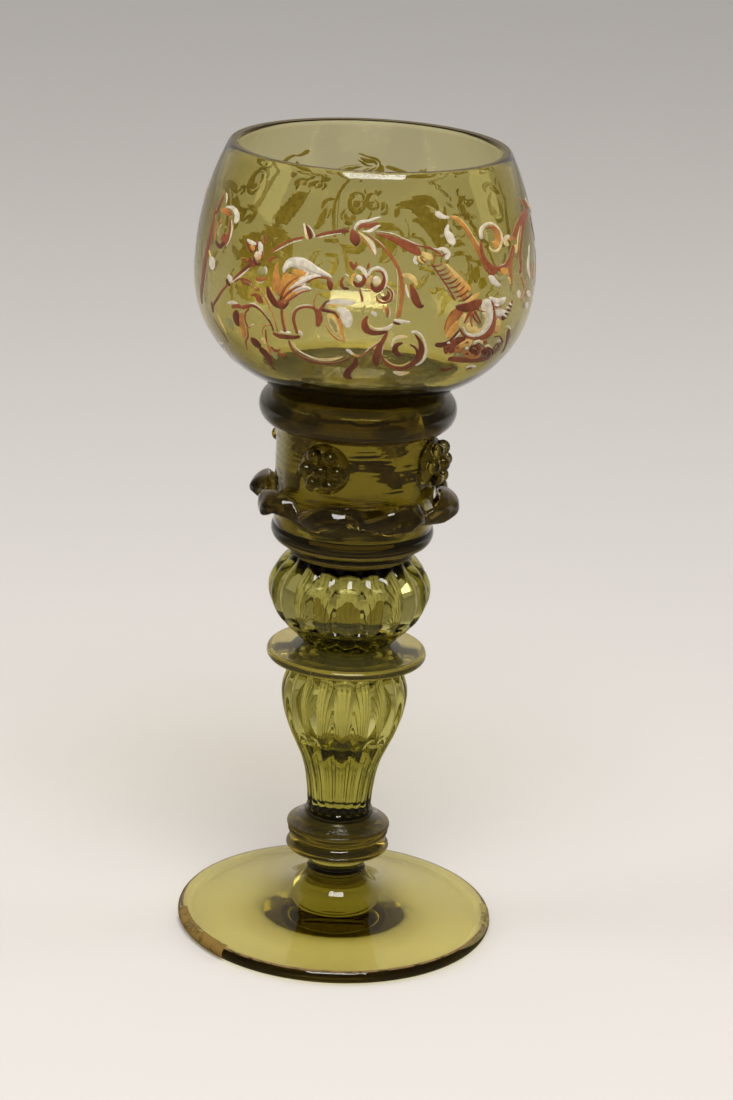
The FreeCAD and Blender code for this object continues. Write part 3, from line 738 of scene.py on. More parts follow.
# Collar: a thick round ring of dark glass that joins the cylinder to the bowl.
COLLAR_RADIUS = 30.1
COLLAR_BORE = 20.8
COLLAR_HEIGHT = 11.2
BOWL_SEAT_RADIUS = 24.2
bowl_mm = collar_mm + COLLAR_HEIGHT
collar_outline = draw(
    *joint_below(CYLINDER_RADIUS, CYLINDER_BORE),
    ((COLLAR_RADIUS, COLLAR_HEIGHT / 2), (BOWL_SEAT_RADIUS, COLLAR_HEIGHT), 20),
    *[(COLLAR_BORE, COLLAR_HEIGHT * k / 4) for k in (4, 3, 2, 1, 0)], (CYLINDER_BORE, 0.0),
)
collar_glasses = glasses(
    "collar", (75.0, 85.0, 160.0), (0.30, 0.235, 0.085), ripple=0.05, ripple_size=60.0, clearness=0.965,
)
dress(
    spin_up("bowl_collar_ring", collar_outline, collar_mm, 112), "bowl_collar", "stem_glass",
    collar_glasses, fused_below(collar_mm, CYLINDER_RADIUS, CYLINDER_BORE),
    fused_above(bowl_mm, BOWL_SEAT_RADIUS, COLLAR_BORE),
)

# Bowl: a rounded bubble, 102 mm across, its bottom closed over the collar and its lip cut and rounded in
# the fire.
LIP_OUTSIDE = (41.8, 74.0)
LIP_ROUND = ((40.5, 74.5), (39.2, 74.0), 8)
bowl_glasses = glasses(
    "bowl", (86.0, 107.0, 300.0), (0.98, 0.975, 0.95), ripple=0.10, ripple_size=28.0, turning=0.02,
)
bowl_outside = draw(
    (BOWL_SEAT_RADIUS, 0.0), ((27.8, 1.9), (31.0, 4.4), 4), ((41.3, 11.4), (50.9, 34.6), 24),
    ((48.9, 54.4), LIP_OUTSIDE, 20),
)
bowl_outline = draw(
    (0.0, 0.0), *joint_below(BOWL_SEAT_RADIUS, COLLAR_BORE), *bowl_outside[1:], LIP_ROUND,
    ((46.3, 54.4), (48.3, 34.6), 20), ((39.46, 13.24), (29.7, 7.0), 24), ((25.0, 6.3), (20.0, 6.0), 4),
    (10.0, 6.0), (0.0, 6.0),
)
dress(
    spin_up("round_bowl", bowl_outline, bowl_mm, 160), "bowl", "bowl_glass", bowl_glasses,
    fused_below(bowl_mm, BOWL_SEAT_RADIUS, COLLAR_BORE),
)

# Enamel: scrollwork of stems, buds, berries and a horn of flowers, painted by hand on the outside of the
# bowl and fired on. Each brush stroke stands a hair proud of the glass. The panel on the front is
# painted again on the back. A stroke runs from its first colour to its second, on top of the strokes of
# the lower coats, through places of three numbers, all in tenths: degrees round, mm up the glass, mm wide.
ENAMEL_PAINTS = {
    "r": (0.250, 0.062, 0.020), "m": (0.120, 0.027, 0.012), "w": (0.600, 0.530, 0.405),
    "a": (0.540, 0.250, 0.045), "y": (0.610, 0.430, 0.135), "g": (0.300, 0.265, 0.095),
    "o": (0.400, 0.150, 0.032),
}
ENAMEL_UNDERSIDE = (0.70, 0.62, 0.37)
ENAMEL_THICKNESS = 0.10
ENAMEL_COAT = 0.03
ENAMEL_ROOT = 0.15
ENAMEL_SIDES = 10
STROKE_END = 0.3
STROKE_FLATNESS = 1.6
ENAMEL_STROKES = [
    ("ww", 0, -487, 505, 8, -454, 530, 12, -431, 547, 12, -407, 567, 10),
    ("rm", 1, -484, 510, 6, -455, 534, 10, -431, 551, 12, -404, 572, 12),
    ("mr", 0, -597, 415, 10, -565, 442, 10, -535, 471, 9, -505, 495, 8),
    ("ww", 2, -509, 522, 12, -495, 516, 20, -480, 507, 9),
    ("mm", 3, -510, 513, 11, -507, 501, 16, -490, 497, 8),
    ("mm", 1, -609, 426, 8, -604, 411, 19, -609, 388, 8),
    ("gg", 0, -357, 576, 16, -355, 560, 31, -349, 549, 19),
    ("ww", 1, -346, 577, 6, -336, 566, 8, -338, 553, 4),
    ("ro", 1, -377, 541, 9, -365, 535, 13, -341, 541, 9, -332, 551, 5),
    ("ww", 2, -371, 529, 2, -357, 527, 3, -341, 534, 2),
    ("mr", 2, -411, 591, 11, -401, 578, 20, -382, 572, 10),
    ("ww", 0, -436, 641, 5, -425, 637, 11, -404, 634, 12, -387, 634, 5),
    ("rm", 1, -436, 638, 6, -427, 626, 9, -414, 614, 10, -401, 606, 6),
    ("ao", 2, -415, 628, 10, -405, 620, 16, -396, 612, 9),
    ("ww", 1, -383, 642, 10, -372, 630, 18, -368, 615, 16, -373, 601, 7),
    ("rm", 3, -397, 644, 5, -386, 636, 8, -389, 624, 6, -391, 614, 5),
    ("wa", 4, -387, 613, 14, -378, 601, 26, -371, 588, 17),
    ("mm", 5, -393, 598, 7, -386, 584, 12, -371, 578, 9, -361, 588, 5),
    ("rr", 6, -362, 619, 5, -357, 607, 7, -360, 591, 5),
    ("oo", 3, -452, 577, 3, -440, 585, 4, -417, 589, 3),
    ("rr", 3, -438, 573, 4, -426, 580, 7, -411, 582, 4),
    ("rr", 0, -366, 666, 4, -357, 653, 11, -361, 635, 4),
    ("rr", 0, -334, 590, 9, -321, 602, 10, -304, 609, 3),
    ("rr", 3, -474, 508, 4, -458, 518, 5, -433, 526, 5, -408, 526, 6, -390, 523, 6),
    ("rr", 4, -440, 522, 6, -425, 517, 12, -417, 512, 5),
    ("rr", 5, -418, 521, 6, -407, 515, 12, -402, 509, 5),
    ("rr", 4, -391, 520, 6, -381, 510, 5, -367, 504, 5, -355, 515, 5),
    ("rr", 0, -394, 482, 4, -376, 489, 11, -358, 483, 19, -343, 475, 7),
    ("oo", 5, -361, 514, 4, -337, 492, 5, -314, 462, 6, -297, 433, 5, -284, 389, 5),
    ("rr", 1, -372, 479, 8, -354, 475, 16, -340, 474, 8),
    ("ww", 0, -507, 440, 5, -478, 448, 11, -451, 449, 5),
    ("ww", 0, -408, 454, 3, -380, 462, 5, -357, 456, 3, -342, 448, 2),
    ("rr", 1, -485, 432, 10, -454, 442, 14, -433, 442, 14),
    ("rm", 2, -436, 440, 11, -408, 449, 13, -385, 456, 9, -356, 450, 8, -330, 433, 7, -310, 413, 7,
     -302, 389, 6),
    ("rr", 3, -398, 445, 7, -415, 429, 7, -419, 409, 8, -413, 390, 8, -399, 384, 4),
    ("rr", 0, -416, 385, 6, -417, 357, 7, -441, 326, 7, -444, 298, 6),
    ("ww", 0, -396, 395, 3, -381, 397, 6),
    ("gg", 0, -509, 402, 18, -504, 383, 43, -497, 356, 13),
    ("oo", 0, -429, 426, 11, -440, 401, 21, -437, 378, 23, -436, 349, 17),
    ("mm", 1, -452, 429, 16, -463, 405, 33, -457, 377, 19),
    ("aa", 1, -442, 380, 10, -442, 361, 16, -445, 336, 8),
    ("oo", 3, -311, 408, 4, -333, 404, 4, -346, 388, 4, -349, 370, 3),
    ("rr", 0, -333, 393, 5, -336, 368, 7, -337, 345, 6),
    ("mm", 0, -407, 352, 14, -388, 337, 36, -364, 334, 17),
    ("yy", 1, -361, 357, 11, -349, 352, 22, -346, 340, 8),
    ("mm", 1, -381, 324, 19, -360, 308, 32, -347, 288, 26, -350, 261, 14, -338, 240, 6),
    ("gg", 0, -327, 322, 12, -316, 307, 20, -316, 291, 8),
    ("oo", 1, -335, 343, 7, -331, 325, 12, -330, 305, 7),
    ("rr", 0, -324, 337, 8, -308, 325, 12, -283, 333, 4),
    ("rr", 1, -300, 322, 8, -285, 313, 12, -260, 322, 4),
    ("yy", 0, -576, 396, 5, -560, 369, 11, -542, 337, 7),
    ("mm", 0, -614, 373, 5, -585, 346, 6, -565, 325, 8, -555, 298, 6),
    ("ww", 0, -688, 279, 4, -648, 275, 8, -600, 293, 2),
    ("ww", 0, -634, 263, 10, -659, 226, 15, -699, 179, 5),
    ("rm", 0, -627, 744, 7, -630, 725, 13, -638, 699, 13, -648, 677, 8),
    ("ww", 0, -617, 749, 5, -600, 734, 9, -593, 718, 5),
    ("rm", 1, -663, 698, 10, -652, 655, 21, -653, 607, 26, -661, 557, 26, -671, 514, 30, -682, 467, 28,
     -700, 428, 25, -709, 393, 10),
    ("ar", 0, -620, 696, 7, -584, 698, 21, -540, 695, 13),
    ("ww", 0, -592, 710, 5, -547, 714, 12, -517, 704, 20, -507, 688, 24, -516, 675, 9),
    ("gg", 0, -593, 617, 12, -601, 641, 16, -583, 661, 7),
    ("oo", 0, -608, 605, 9, -621, 632, 10, -611, 656, 8, -589, 672, 5),
    ("rr", 0, -550, 686, 8, -531, 657, 13, -533, 630, 18, -549, 603, 17),
    ("mm", 1, -543, 617, 15, -571, 595, 14, -608, 605, 15),
    ("rr", 2, -540, 635, 12, -556, 623, 28, -574, 614, 12),
    ("ww", 1, -535, 680, 3, -521, 656, 6, -522, 625, 6, -537, 600, 3),
    ("ww", 0, -636, 547, 16, -611, 537, 43, -616, 519, 20),
    ("yy", 2, -647, 570, 6, -634, 561, 10, -623, 550, 6),
    ("gg", 0, -633, 505, 10, -620, 470, 19, -614, 433, 7),
    ("gg", 0, -777, 578, 7, -765, 543, 17, -743, 506, 7),
    ("ww", 0, -320, 620, 2, -288, 638, 3, -255, 656, 3, -213, 670, 2),
    ("rr", 0, -332, 616, 5, -309, 634, 7, -279, 654, 7, -245, 668, 7, -210, 677, 8),
    ("ww", 0, -168, 679, 2, -132, 689, 3, -103, 696, 3, -80, 700, 2),
    ("rm", 1, -173, 684, 7, -147, 693, 8, -122, 699, 10, -96, 703, 13, -70, 708, 13, -60, 706, 5),
    ("wy", 1, -221, 717, 5, -213, 702, 7, -205, 682, 8, -196, 671, 4),
    ("ww", 2, -204, 714, 2, -188, 701, 3, -176, 687, 4, -178, 677, 4),
    ("mm", 0, -211, 711, 4, -199, 698, 13, -190, 684, 13, -190, 673, 7),
    ("ww", 0, -273, 571, 11, -254, 597, 26, -221, 604, 34, -187, 596, 36, -153, 586, 25, -125, 580, 14,
     -107, 578, 5),
    ("ww", 1, -137, 576, 10, -172, 568, 17, -199, 549, 20, -222, 527, 15, -241, 506, 7),
    ("wa", 2, -169, 533, 5, -193, 533, 15, -217, 518, 20, -245, 494, 14, -265, 477, 5),
    ("ao", 3, -262, 570, 15, -261, 536, 32, -266, 498, 23, -270, 476, 8),
    ("ao", 4, -218, 577, 25, -230, 547, 37, -252, 506, 29, -268, 480, 7),
    ("wa", 5, -181, 580, 8, -203, 555, 24, -232, 524, 28, -261, 488, 14),
    ("or", 6, -212, 558, 1, -232, 530, 4, -258, 499, 7, -270, 478, 7),
    ("ar", 7, -196, 546, 1, -227, 520, 4, -262, 490, 6, -271, 478, 5),
    ("ar", 8, -256, 578, 2, -253, 544, 5, -260, 505, 7, -271, 478, 7),
    ("ao", 4, -296, 597, 4, -299, 569, 16, -291, 532, 31, -276, 501, 15),
    ("aa", 9, -259, 562, 31, -244, 548, 41, -253, 518, 27, -265, 498, 10),
    ("aa", 10, -239, 575, 19, -212, 575, 22, -190, 576, 9),
    ("ww", 10, -271, 565, 5, -264, 583, 12, -246, 597, 20, -225, 604, 26, -202, 606, 26, -177, 596, 23,
     -142, 585, 16, -118, 578, 9, -102, 572, 3),
    ("ww", 11, -249, 522, 4, -228, 537, 10, -199, 555, 14, -170, 567, 13, -136, 575, 7),
    ("ww", 8, -237, 516, 4, -208, 533, 10, -186, 537, 8, -167, 533, 2),
    ("aa", 10, -261, 489, 6, -242, 506, 12, -217, 521, 6),
    ("om", 11, -213, 566, 2, -235, 552, 7, -256, 531, 12, -270, 504, 12, -274, 484, 8),
    ("rr", 12, -198, 542, 2, -223, 531, 5, -248, 514, 9, -266, 493, 9),
    ("rr", 6, -171, 530, 3, -202, 521, 5, -232, 501, 6, -256, 484, 6),
    ("rr", 12, -191, 547, 4, -171, 561, 6, -145, 570, 6, -119, 569, 7, -108, 564, 9),
    ("rm", 13, -116, 568, 9, -109, 553, 19, -104, 534, 8),
    ("aa", 0, -318, 524, 3, -305, 503, 6, -291, 485, 3),
    ("mm", 9, -326, 523, 9, -316, 499, 20, -295, 478, 21, -274, 469, 14),
    ("rm", 13, -279, 493, 15, -272, 475, 27, -258, 475, 14, -244, 488, 4),
    ("rr", 14, -269, 469, 8, -267, 443, 9, -262, 418, 9, -255, 394, 8),
    ("aa", 0, -261, 463, 2, -256, 435, 4, -252, 406, 2),
    ("ww", 15, -275, 397, 4, -265, 395, 5, -246, 397, 6, -235, 396, 3),
    ("rm", 3, -306, 386, 8, -286, 380, 15, -256, 380, 15, -228, 383, 13, -203, 389, 9),
    ("ww", 4, -211, 405, 6, -200, 399, 9, -199, 390, 4),
    ("ww", 0, -231, 430, 3, -229, 457, 3, -213, 477, 3, -186, 486, 3, -164, 487, 2),
    ("rr", 5, -213, 395, 10, -220, 417, 10, -226, 440, 11, -221, 462, 10, -204, 475, 7, -179, 481, 7,
     -152, 480, 10),
    ("rr", 6, -157, 480, 11, -143, 468, 20, -139, 448, 22, -145, 425, 10),
    ("oo", 7, -138, 535, 2, -151, 518, 2, -158, 498, 4, -155, 483, 5),
    ("ww", 0, -70, 478, 21, -52, 464, 36, -47, 443, 28, -51, 431, 12),
    ("gy", 0, -114, 473, 11, -99, 446, 31, -77, 418, 27, -57, 395, 11, -49, 388, 3),
    ("aa", 1, -85, 472, 5, -71, 449, 12, -64, 421, 10, -57, 399, 3),
    ("yw", 0, -119, 497, 10, -85, 504, 21, -54, 504, 22, -22, 508, 5),
    ("yy", 2, -113, 469, 6, -97, 453, 29, -82, 428, 29, -58, 397, 7),
    ("ww", 1, -86, 483, 12, -61, 478, 27, -49, 460, 34, -44, 437, 17),
    ("ww", 1, -122, 493, 9, -94, 505, 15, -59, 506, 18, -28, 508, 4),
    ("aa", 3, -107, 478, 5, -84, 464, 12, -70, 441, 11, -65, 415, 10, -52, 394, 4),
    ("gg", 3, -106, 459, 10, -91, 437, 19, -78, 412, 7),
    ("oo", 1, -117, 434, 3, -101, 410, 5, -77, 392, 6, -47, 388, 3),
    ("rm", 7, -137, 475, 11, -128, 488, 11, -118, 502, 5, -105, 507, 3),
    ("mm", 8, -135, 478, 11, -114, 477, 11, -89, 473, 7, -74, 455, 4),
    ("aa", 2, -115, 496, 3, -100, 493, 6, -84, 493, 3),
    ("wy", 0, -237, 367, 2, -217, 343, 5, -187, 328, 7, -145, 318, 9, -99, 322, 10, -57, 337, 4),
    ("rm", 4, -247, 373, 6, -240, 347, 9, -219, 326, 10, -185, 311, 11, -139, 304, 10, -92, 309, 7,
     -60, 320, 6, -33, 337, 6),
    ("ww", 0, -50, 362, 7, -38, 357, 11, -24, 345, 7),
    ("aa", 1, -28, 348, 4, -13, 342, 8, -4, 344, 3),
    ("gg", 0, -69, 297, 5, -62, 280, 11, -59, 257, 4),
    ("mm", 2, -15, 338, 8, -16, 314, 17, -37, 287, 20, -47, 262, 24, -26, 248, 8),
    ("ww", 0, -37, 705, 3, -39, 721, 7, -22, 735, 9, 6, 740, 7, 32, 748, 6, 50, 751, 2),
    ("ww", 0, -16, 709, 2, 10, 710, 8, 29, 720, 9, 47, 729, 3),
    ("rr", 0, -27, 712, 5, -17, 725, 12, 12, 726, 16, 39, 738, 4),
    ("ww", 0, 32, 711, 2, 87, 706, 3, 132, 690, 3, 177, 674, 3, 230, 661, 3),
    ("rr", 0, 27, 706, 4, 73, 696, 13, 117, 680, 22, 161, 662, 29, 185, 644, 9),
    ("rr", 1, 165, 675, 4, 207, 665, 6, 248, 653, 5),
    ("wy", 0, 3, 700, 2, 40, 684, 3, 73, 655, 4, 99, 620, 4, 107, 587, 3, 109, 543, 3, 108, 497, 3,
     106, 473, 3),
    ("ro", 1, -1, 702, 4, 33, 685, 6, 66, 659, 9, 93, 632, 11, 112, 601, 11, 122, 571, 13, 125, 537, 13,
     122, 500, 12, 114, 463, 15),
    ("yw", 0, -29, 708, 3, -11, 697, 7, 11, 683, 12, 26, 665, 13, 33, 642, 5),
    ("oo", 1, -26, 697, 2, -4, 679, 4, 19, 659, 4, 30, 643, 2),
    ("rm", 2, -47, 716, 6, -42, 698, 25, -36, 685, 32, -31, 666, 11),
    ("ww", 2, 99, 460, 5, 124, 455, 12, 159, 453, 4),
    ("mm", 3, 99, 453, 6, 114, 449, 8, 126, 447, 3),
    ("gg", 0, -61, 582, 6, -56, 566, 14, -52, 551, 6),
    ("ww", 1, -66, 581, 2, -58, 585, 4, -48, 577, 3),
    ("rm", 1, -68, 577, 6, -73, 561, 9, -66, 547, 10, -46, 545, 6),
    ("ww", 0, -27, 604, 5, -13, 606, 11, 2, 593, 13, 8, 575, 6),
    ("ay", 0, -26, 592, 6, -38, 578, 9, -38, 561, 7, -31, 553, 4),
    ("ww", 1, -26, 584, 9, -15, 577, 16, -15, 567, 7),
    ("rm", 2, -5, 590, 5, 1, 573, 12, -9, 559, 16, -24, 558, 13, -35, 569, 5),
    ("rr", 0, -13, 549, 5, -9, 534, 7, -3, 521, 8, -4, 507, 5),
    ("rr", 0, -49, 623, 5, -44, 614, 11, -37, 604, 11, -34, 597, 4),
    ("rr", 1, -28, 623, 4, -29, 613, 9, -34, 602, 6),
    ("rr", 0, 13, 622, 4, 12, 612, 8, 8, 602, 4),
    ("ww", 1, 11, 583, 6, 22, 601, 9, 43, 609, 8, 65, 598, 9, 72, 574, 8, 64, 546, 5),
    ("yo", 1, 27, 585, 9, 15, 572, 11, 15, 557, 13, 29, 545, 8),
    ("wy", 2, 33, 584, 15, 43, 570, 25, 52, 561, 12),
    ("rm", 3, 35, 598, 4, 54, 597, 6, 65, 579, 9, 60, 558, 16, 44, 546, 18, 28, 552, 12, 24, 567, 4),
    ("gg", 0, 45, 535, 6, 54, 527, 12, 62, 516, 5),
    ("ww", 2, 70, 562, 3, 85, 552, 3, 97, 537, 4, 94, 515, 3),
    ("rm", 1, 77, 544, 4, 80, 531, 11, 71, 521, 15, 56, 525, 7),
    ("rr", 3, 81, 550, 4, 93, 538, 6, 90, 518, 7, 67, 509, 7, 48, 514, 7, 41, 531, 3),
    ("ay", 0, 66, 502, 5, 68, 490, 8, 67, 480, 3),
    ("or", 1, 76, 497, 10, 80, 481, 11, 79, 465, 3),
    ("ww", 0, 85, 496, 2, 89, 479, 3, 87, 465, 2),
    ("gg", 0, 7, 501, 3, 4, 488, 8, 2, 472, 4),
    ("rm", 0, 19, 470, 4, 8, 453, 16, 13, 431, 22, 35, 420, 16, 63, 420, 12, 85, 427, 9),
    ("ww", 0, 26, 479, 9, 40, 476, 13, 43, 467, 5),
    ("yw", 4, 20, 460, 3, 24, 444, 4, 40, 433, 7, 66, 431, 10, 87, 437, 12, 101, 448, 7),
    ("ww", 0, 81, 415, 2, 73, 385, 3, 72, 349, 2),
    ("rm", 1, 85, 423, 7, 70, 395, 15, 57, 360, 22, 53, 329, 22, 61, 308, 9),
    ("ww", 0, 58, 392, 2, 35, 376, 3, 13, 356, 3),
    ("rr", 2, 66, 394, 5, 39, 373, 6, 15, 350, 5, -7, 340, 3),
    ("ww", 0, 161, 422, 8, 179, 422, 9, 199, 410, 6, 215, 383, 6, 225, 349, 9, 216, 322, 10, 195, 307, 5),
    ("yy", 0, 79, 338, 2, 111, 315, 4, 147, 310, 5, 175, 325, 3),
    ("wy", 0, 118, 287, 6, 150, 277, 19, 183, 282, 7),
    ("rm", 1, 72, 349, 5, 83, 325, 8, 109, 307, 12, 145, 298, 14, 175, 307, 18, 195, 331, 23, 205, 361, 21,
     196, 391, 12, 174, 417, 4),
    ("mm", 2, 160, 384, 5, 181, 373, 7, 193, 355, 9, 190, 332, 7),
    ("wy", 0, 101, 374, 5, 106, 399, 9, 128, 408, 12, 153, 407, 5),
    ("mm", 0, 139, 389, 5, 118, 382, 16, 114, 364, 18, 129, 350, 15, 150, 348, 4),
    ("ww", 0, 136, 562, 4, 140, 543, 9, 149, 521, 4),
    ("yy", 2, 120, 587, 5, 141, 587, 15, 163, 576, 15, 172, 555, 7),
    ("rm", 0, 151, 564, 4, 162, 539, 21, 172, 515, 25, 186, 499, 16, 200, 500, 4),
    ("ww", 0, 169, 643, 5, 165, 628, 11, 178, 617, 5),
    ("yy", 1, 175, 641, 8, 190, 628, 15, 205, 628, 6),
    ("yy", 1, 188, 652, 9, 209, 641, 19, 233, 634, 12),
    ("rr", 2, 181, 641, 4, 192, 629, 7, 206, 622, 4),
    ("oo", 2, 224, 644, 3, 234, 631, 5, 220, 623, 3),
    ("rr", 0, 220, 618, 4, 237, 606, 4, 252, 602, 4),
    ("ww", 0, 248, 766, 11, 257, 758, 19, 279, 749, 12, 302, 747, 5),
    ("ar", 1, 300, 749, 5, 325, 743, 13, 354, 722, 16, 379, 690, 17, 403, 654, 19, 425, 617, 19,
     451, 577, 17),
    ("yy", 2, 303, 751, 2, 337, 744, 4, 369, 716, 4, 393, 683, 5, 416, 652, 4),
    ("ww", 0, 295, 728, 5, 284, 709, 17, 295, 690, 28, 304, 676, 22, 306, 666, 8),
    ("yw", 2, 427, 626, 3, 451, 601, 5, 483, 589, 4, 525, 590, 4, 562, 599, 3),
    ("rr", 3, 424, 670, 10, 421, 641, 15, 437, 610, 17, 470, 587, 17, 517, 583, 17, 554, 592, 19,
     582, 611, 23, 599, 639, 16),
    ("rr", 4, 445, 580, 9, 464, 574, 19, 492, 577, 9),
    ("wy", 4, 425, 673, 12, 428, 698, 16, 450, 713, 11, 485, 714, 9, 515, 698, 11, 531, 673, 12,
     523, 651, 12, 500, 634, 10, 471, 638, 8, 457, 653, 4),
    ("ra", 5, 454, 703, 4, 489, 703, 12, 509, 684, 27, 506, 661, 27, 487, 649, 8),
    ("aa", 6, 477, 664, 10, 494, 651, 19, 512, 656, 7),
    ("gg", 0, 459, 694, 7, 451, 677, 13, 460, 663, 5),
    ("wy", 0, 583, 665, 6, 556, 665, 17, 548, 652, 20, 570, 641, 8),
    ("ar", 1, 566, 658, 7, 595, 656, 13, 617, 656, 9),
    ("yy", 0, 614, 665, 5, 650, 689, 6, 725, 709, 5),
    ("rr", 2, 604, 657, 22, 641, 680, 27, 699, 700, 27, 791, 711, 27),
    ("rr", 3, 786, 708, 18, 709, 685, 20, 665, 646, 18, 641, 605, 18, 640, 567, 16, 632, 548, 24),
    ("yy", 3, 669, 691, 3, 635, 651, 6, 619, 616, 4),
    ("ro", 4, 590, 631, 19, 575, 607, 21, 566, 575, 21, 571, 541, 13, 575, 522, 7),
    ("yy", 4, 610, 638, 11, 612, 624, 21, 603, 611, 9),
    ("oo", 4, 636, 541, 8, 663, 510, 10, 669, 487, 8, 641, 464, 5),
    ("wa", 3, 797, 746, 8, 831, 722, 18, 900, 682, 3),
    ("rr", 4, 755, 749, 5, 778, 730, 13, 794, 712, 18),
    ("oo", 0, 717, 760, 4, 735, 745, 6, 759, 727, 5),
    ("mm", 0, 820, 689, 7, 832, 648, 9, 883, 599, 7),
    ("ww", 0, 738, 619, 7, 722, 583, 18, 709, 556, 25, 734, 513, 10),
    ("oo", 0, 783, 557, 21, 776, 528, 35, 770, 506, 13),
    ("mm", 0, 884, 580, 2, 874, 523, 3, 865, 463, 2),
    ("ww", 5, 450, 567, 11, 466, 555, 22, 488, 539, 17, 510, 532, 5),
    ("gg", 5, 478, 565, 10, 501, 554, 15, 543, 552, 16),
    ("aa", 6, 505, 579, 9, 528, 571, 26, 551, 559, 14),
    ("yy", 6, 554, 551, 7, 560, 537, 12, 565, 525, 6),
    ("ww", 0, 612, 496, 7, 627, 488, 24, 639, 475, 10),
    ("ww", 0, 696, 481, 7, 728, 471, 19, 761, 458, 6),
    ("ww", 0, 695, 445, 7, 719, 436, 22, 741, 424, 6),
    ("gg", 1, 236, 614, 23, 263, 580, 32, 292, 546, 33, 323, 514, 23),
    ("ga", 2, 259, 618, 14, 287, 590, 21, 322, 556, 23, 359, 526, 20),
    ("ya", 3, 273, 618, 5, 304, 589, 13, 338, 559, 17, 373, 531, 14),
    ("ao", 3, 318, 547, 12, 338, 529, 24, 352, 511, 17),
    ("mo", 3, 223, 612, 4, 247, 612, 7, 267, 621, 4),
    ("mo", 4, 235, 599, 4, 260, 599, 7, 280, 610, 4),
    ("mo", 4, 247, 586, 4, 272, 587, 7, 293, 598, 4),
    ("mo", 4, 259, 573, 4, 285, 575, 7, 306, 586, 4),
    ("rm", 4, 271, 560, 4, 298, 562, 7, 320, 574, 4),
    ("rm", 4, 284, 547, 4, 311, 549, 7, 334, 562, 4),
    ("rm", 4, 297, 533, 4, 325, 536, 7, 348, 550, 4),
    ("rm", 4, 310, 519, 4, 339, 523, 8, 363, 538, 4),
    ("rm", 4, 323, 506, 4, 353, 510, 8, 378, 525, 4),
    ("rr", 5, 219, 623, 3, 249, 587, 6, 281, 549, 6, 313, 506, 8),
    ("ww", 0, 339, 497, 2, 365, 506, 4, 382, 515, 3),
    ("ya", 5, 345, 499, 8, 381, 510, 15, 413, 522, 9),
    ("ww", 2, 243, 658, 5, 266, 659, 12, 283, 644, 21, 273, 627, 11),
    ("ww", 3, 210, 667, 2, 237, 660, 5, 261, 654, 3),
    ("rr", 4, 201, 670, 4, 227, 661, 6, 246, 649, 5, 260, 645, 3),
    ("rr", 3, 235, 642, 3, 262, 640, 5, 283, 647, 3),
    ("rr", 0, 339, 479, 27, 309, 464, 35, 288, 436, 22, 283, 420, 8),
    ("ay", 1, 326, 452, 20, 305, 427, 32, 287, 398, 12),
    ("yg", 2, 351, 468, 25, 352, 439, 39, 366, 408, 24),
    ("gy", 3, 385, 465, 31, 395, 435, 52, 408, 404, 37),
    ("wy", 4, 427, 501, 26, 446, 466, 48, 449, 428, 53, 426, 406, 38, 380, 397, 13),
    ("ww", 0, 456, 497, 12, 491, 483, 24, 524, 485, 22, 545, 491, 6),
    ("wr", 5, 483, 463, 20, 504, 446, 45, 501, 425, 31),
    ("yo", 6, 487, 423, 21, 509, 405, 37, 507, 386, 23),
    ("ra", 3, 344, 482, 22, 309, 459, 34, 290, 434, 18, 284, 406, 7),
    ("aa", 4, 325, 446, 12, 307, 420, 23, 301, 393, 9),
    ("ww", 5, 300, 386, 4, 324, 399, 8, 343, 413, 4),
    ("mm", 6, 251, 381, 13, 276, 377, 18, 304, 387, 11, 323, 406, 9, 336, 423, 6),
    ("gg", 5, 398, 458, 24, 423, 440, 47, 405, 419, 38),
    ("yy", 6, 363, 439, 17, 377, 420, 22, 412, 412, 20),
    ("ww", 7, 430, 496, 18, 458, 479, 28, 465, 448, 25, 459, 419, 23, 436, 400, 18, 401, 395, 11,
     365, 406, 8, 348, 429, 5),
    ("rr", 7, 374, 476, 13, 362, 458, 12, 348, 436, 4),
    ("ro", 8, 380, 471, 12, 378, 445, 9, 387, 421, 3),
    ("rr", 9, 388, 472, 10, 411, 445, 7, 425, 428, 3),
    ("rr", 5, 396, 477, 7, 422, 467, 5, 443, 462, 2),
    ("mr", 10, 312, 491, 11, 353, 485, 29, 393, 489, 33, 420, 500, 13),
    ("rr", 8, 333, 428, 5, 356, 402, 8, 400, 386, 8, 445, 384, 19, 479, 399, 35, 486, 432, 18, 474, 475, 11,
     459, 497, 6),
    ("ww", 9, 451, 505, 7, 485, 489, 20, 517, 485, 13, 541, 492, 4),
    ("ww", 10, 480, 477, 11, 508, 474, 10),
    ("ww", 9, 495, 453, 23, 524, 449, 21, 540, 451, 8),
    ("rr", 11, 471, 477, 3, 496, 470, 4, 519, 471, 3),
    ("mm", 10, 523, 439, 7, 535, 432, 22, 533, 424, 10),
    ("mm", 10, 546, 454, 7, 555, 448, 21, 551, 442, 8),
    ("mm", 0, 561, 468, 6, 572, 462, 20, 566, 457, 7),
    ("rr", 0, 586, 475, 7, 580, 471, 14, 574, 468, 5),
    ("yy", 9, 495, 434, 10, 512, 420, 22, 507, 407, 10),
    ("gm", 0, 329, 344, 38, 388, 342, 62, 458, 332, 80, 533, 332, 77, 584, 335, 34),
    ("mr", 7, 302, 342, 23, 312, 362, 51, 329, 379, 28),
    ("rm", 1, 316, 326, 15, 356, 319, 22, 425, 307, 23, 496, 298, 23, 548, 296, 12),
    ("ar", 8, 330, 384, 21, 351, 361, 41, 353, 337, 25),
    ("gy", 1, 375, 377, 21, 401, 355, 41, 404, 330, 32),
    ("gg", 1, 456, 361, 30, 500, 359, 39, 559, 337, 25),
    ("rm", 9, 294, 349, 16, 312, 371, 39, 339, 385, 29, 370, 390, 8),
    ("ay", 10, 340, 362, 22, 368, 375, 33, 400, 368, 16),
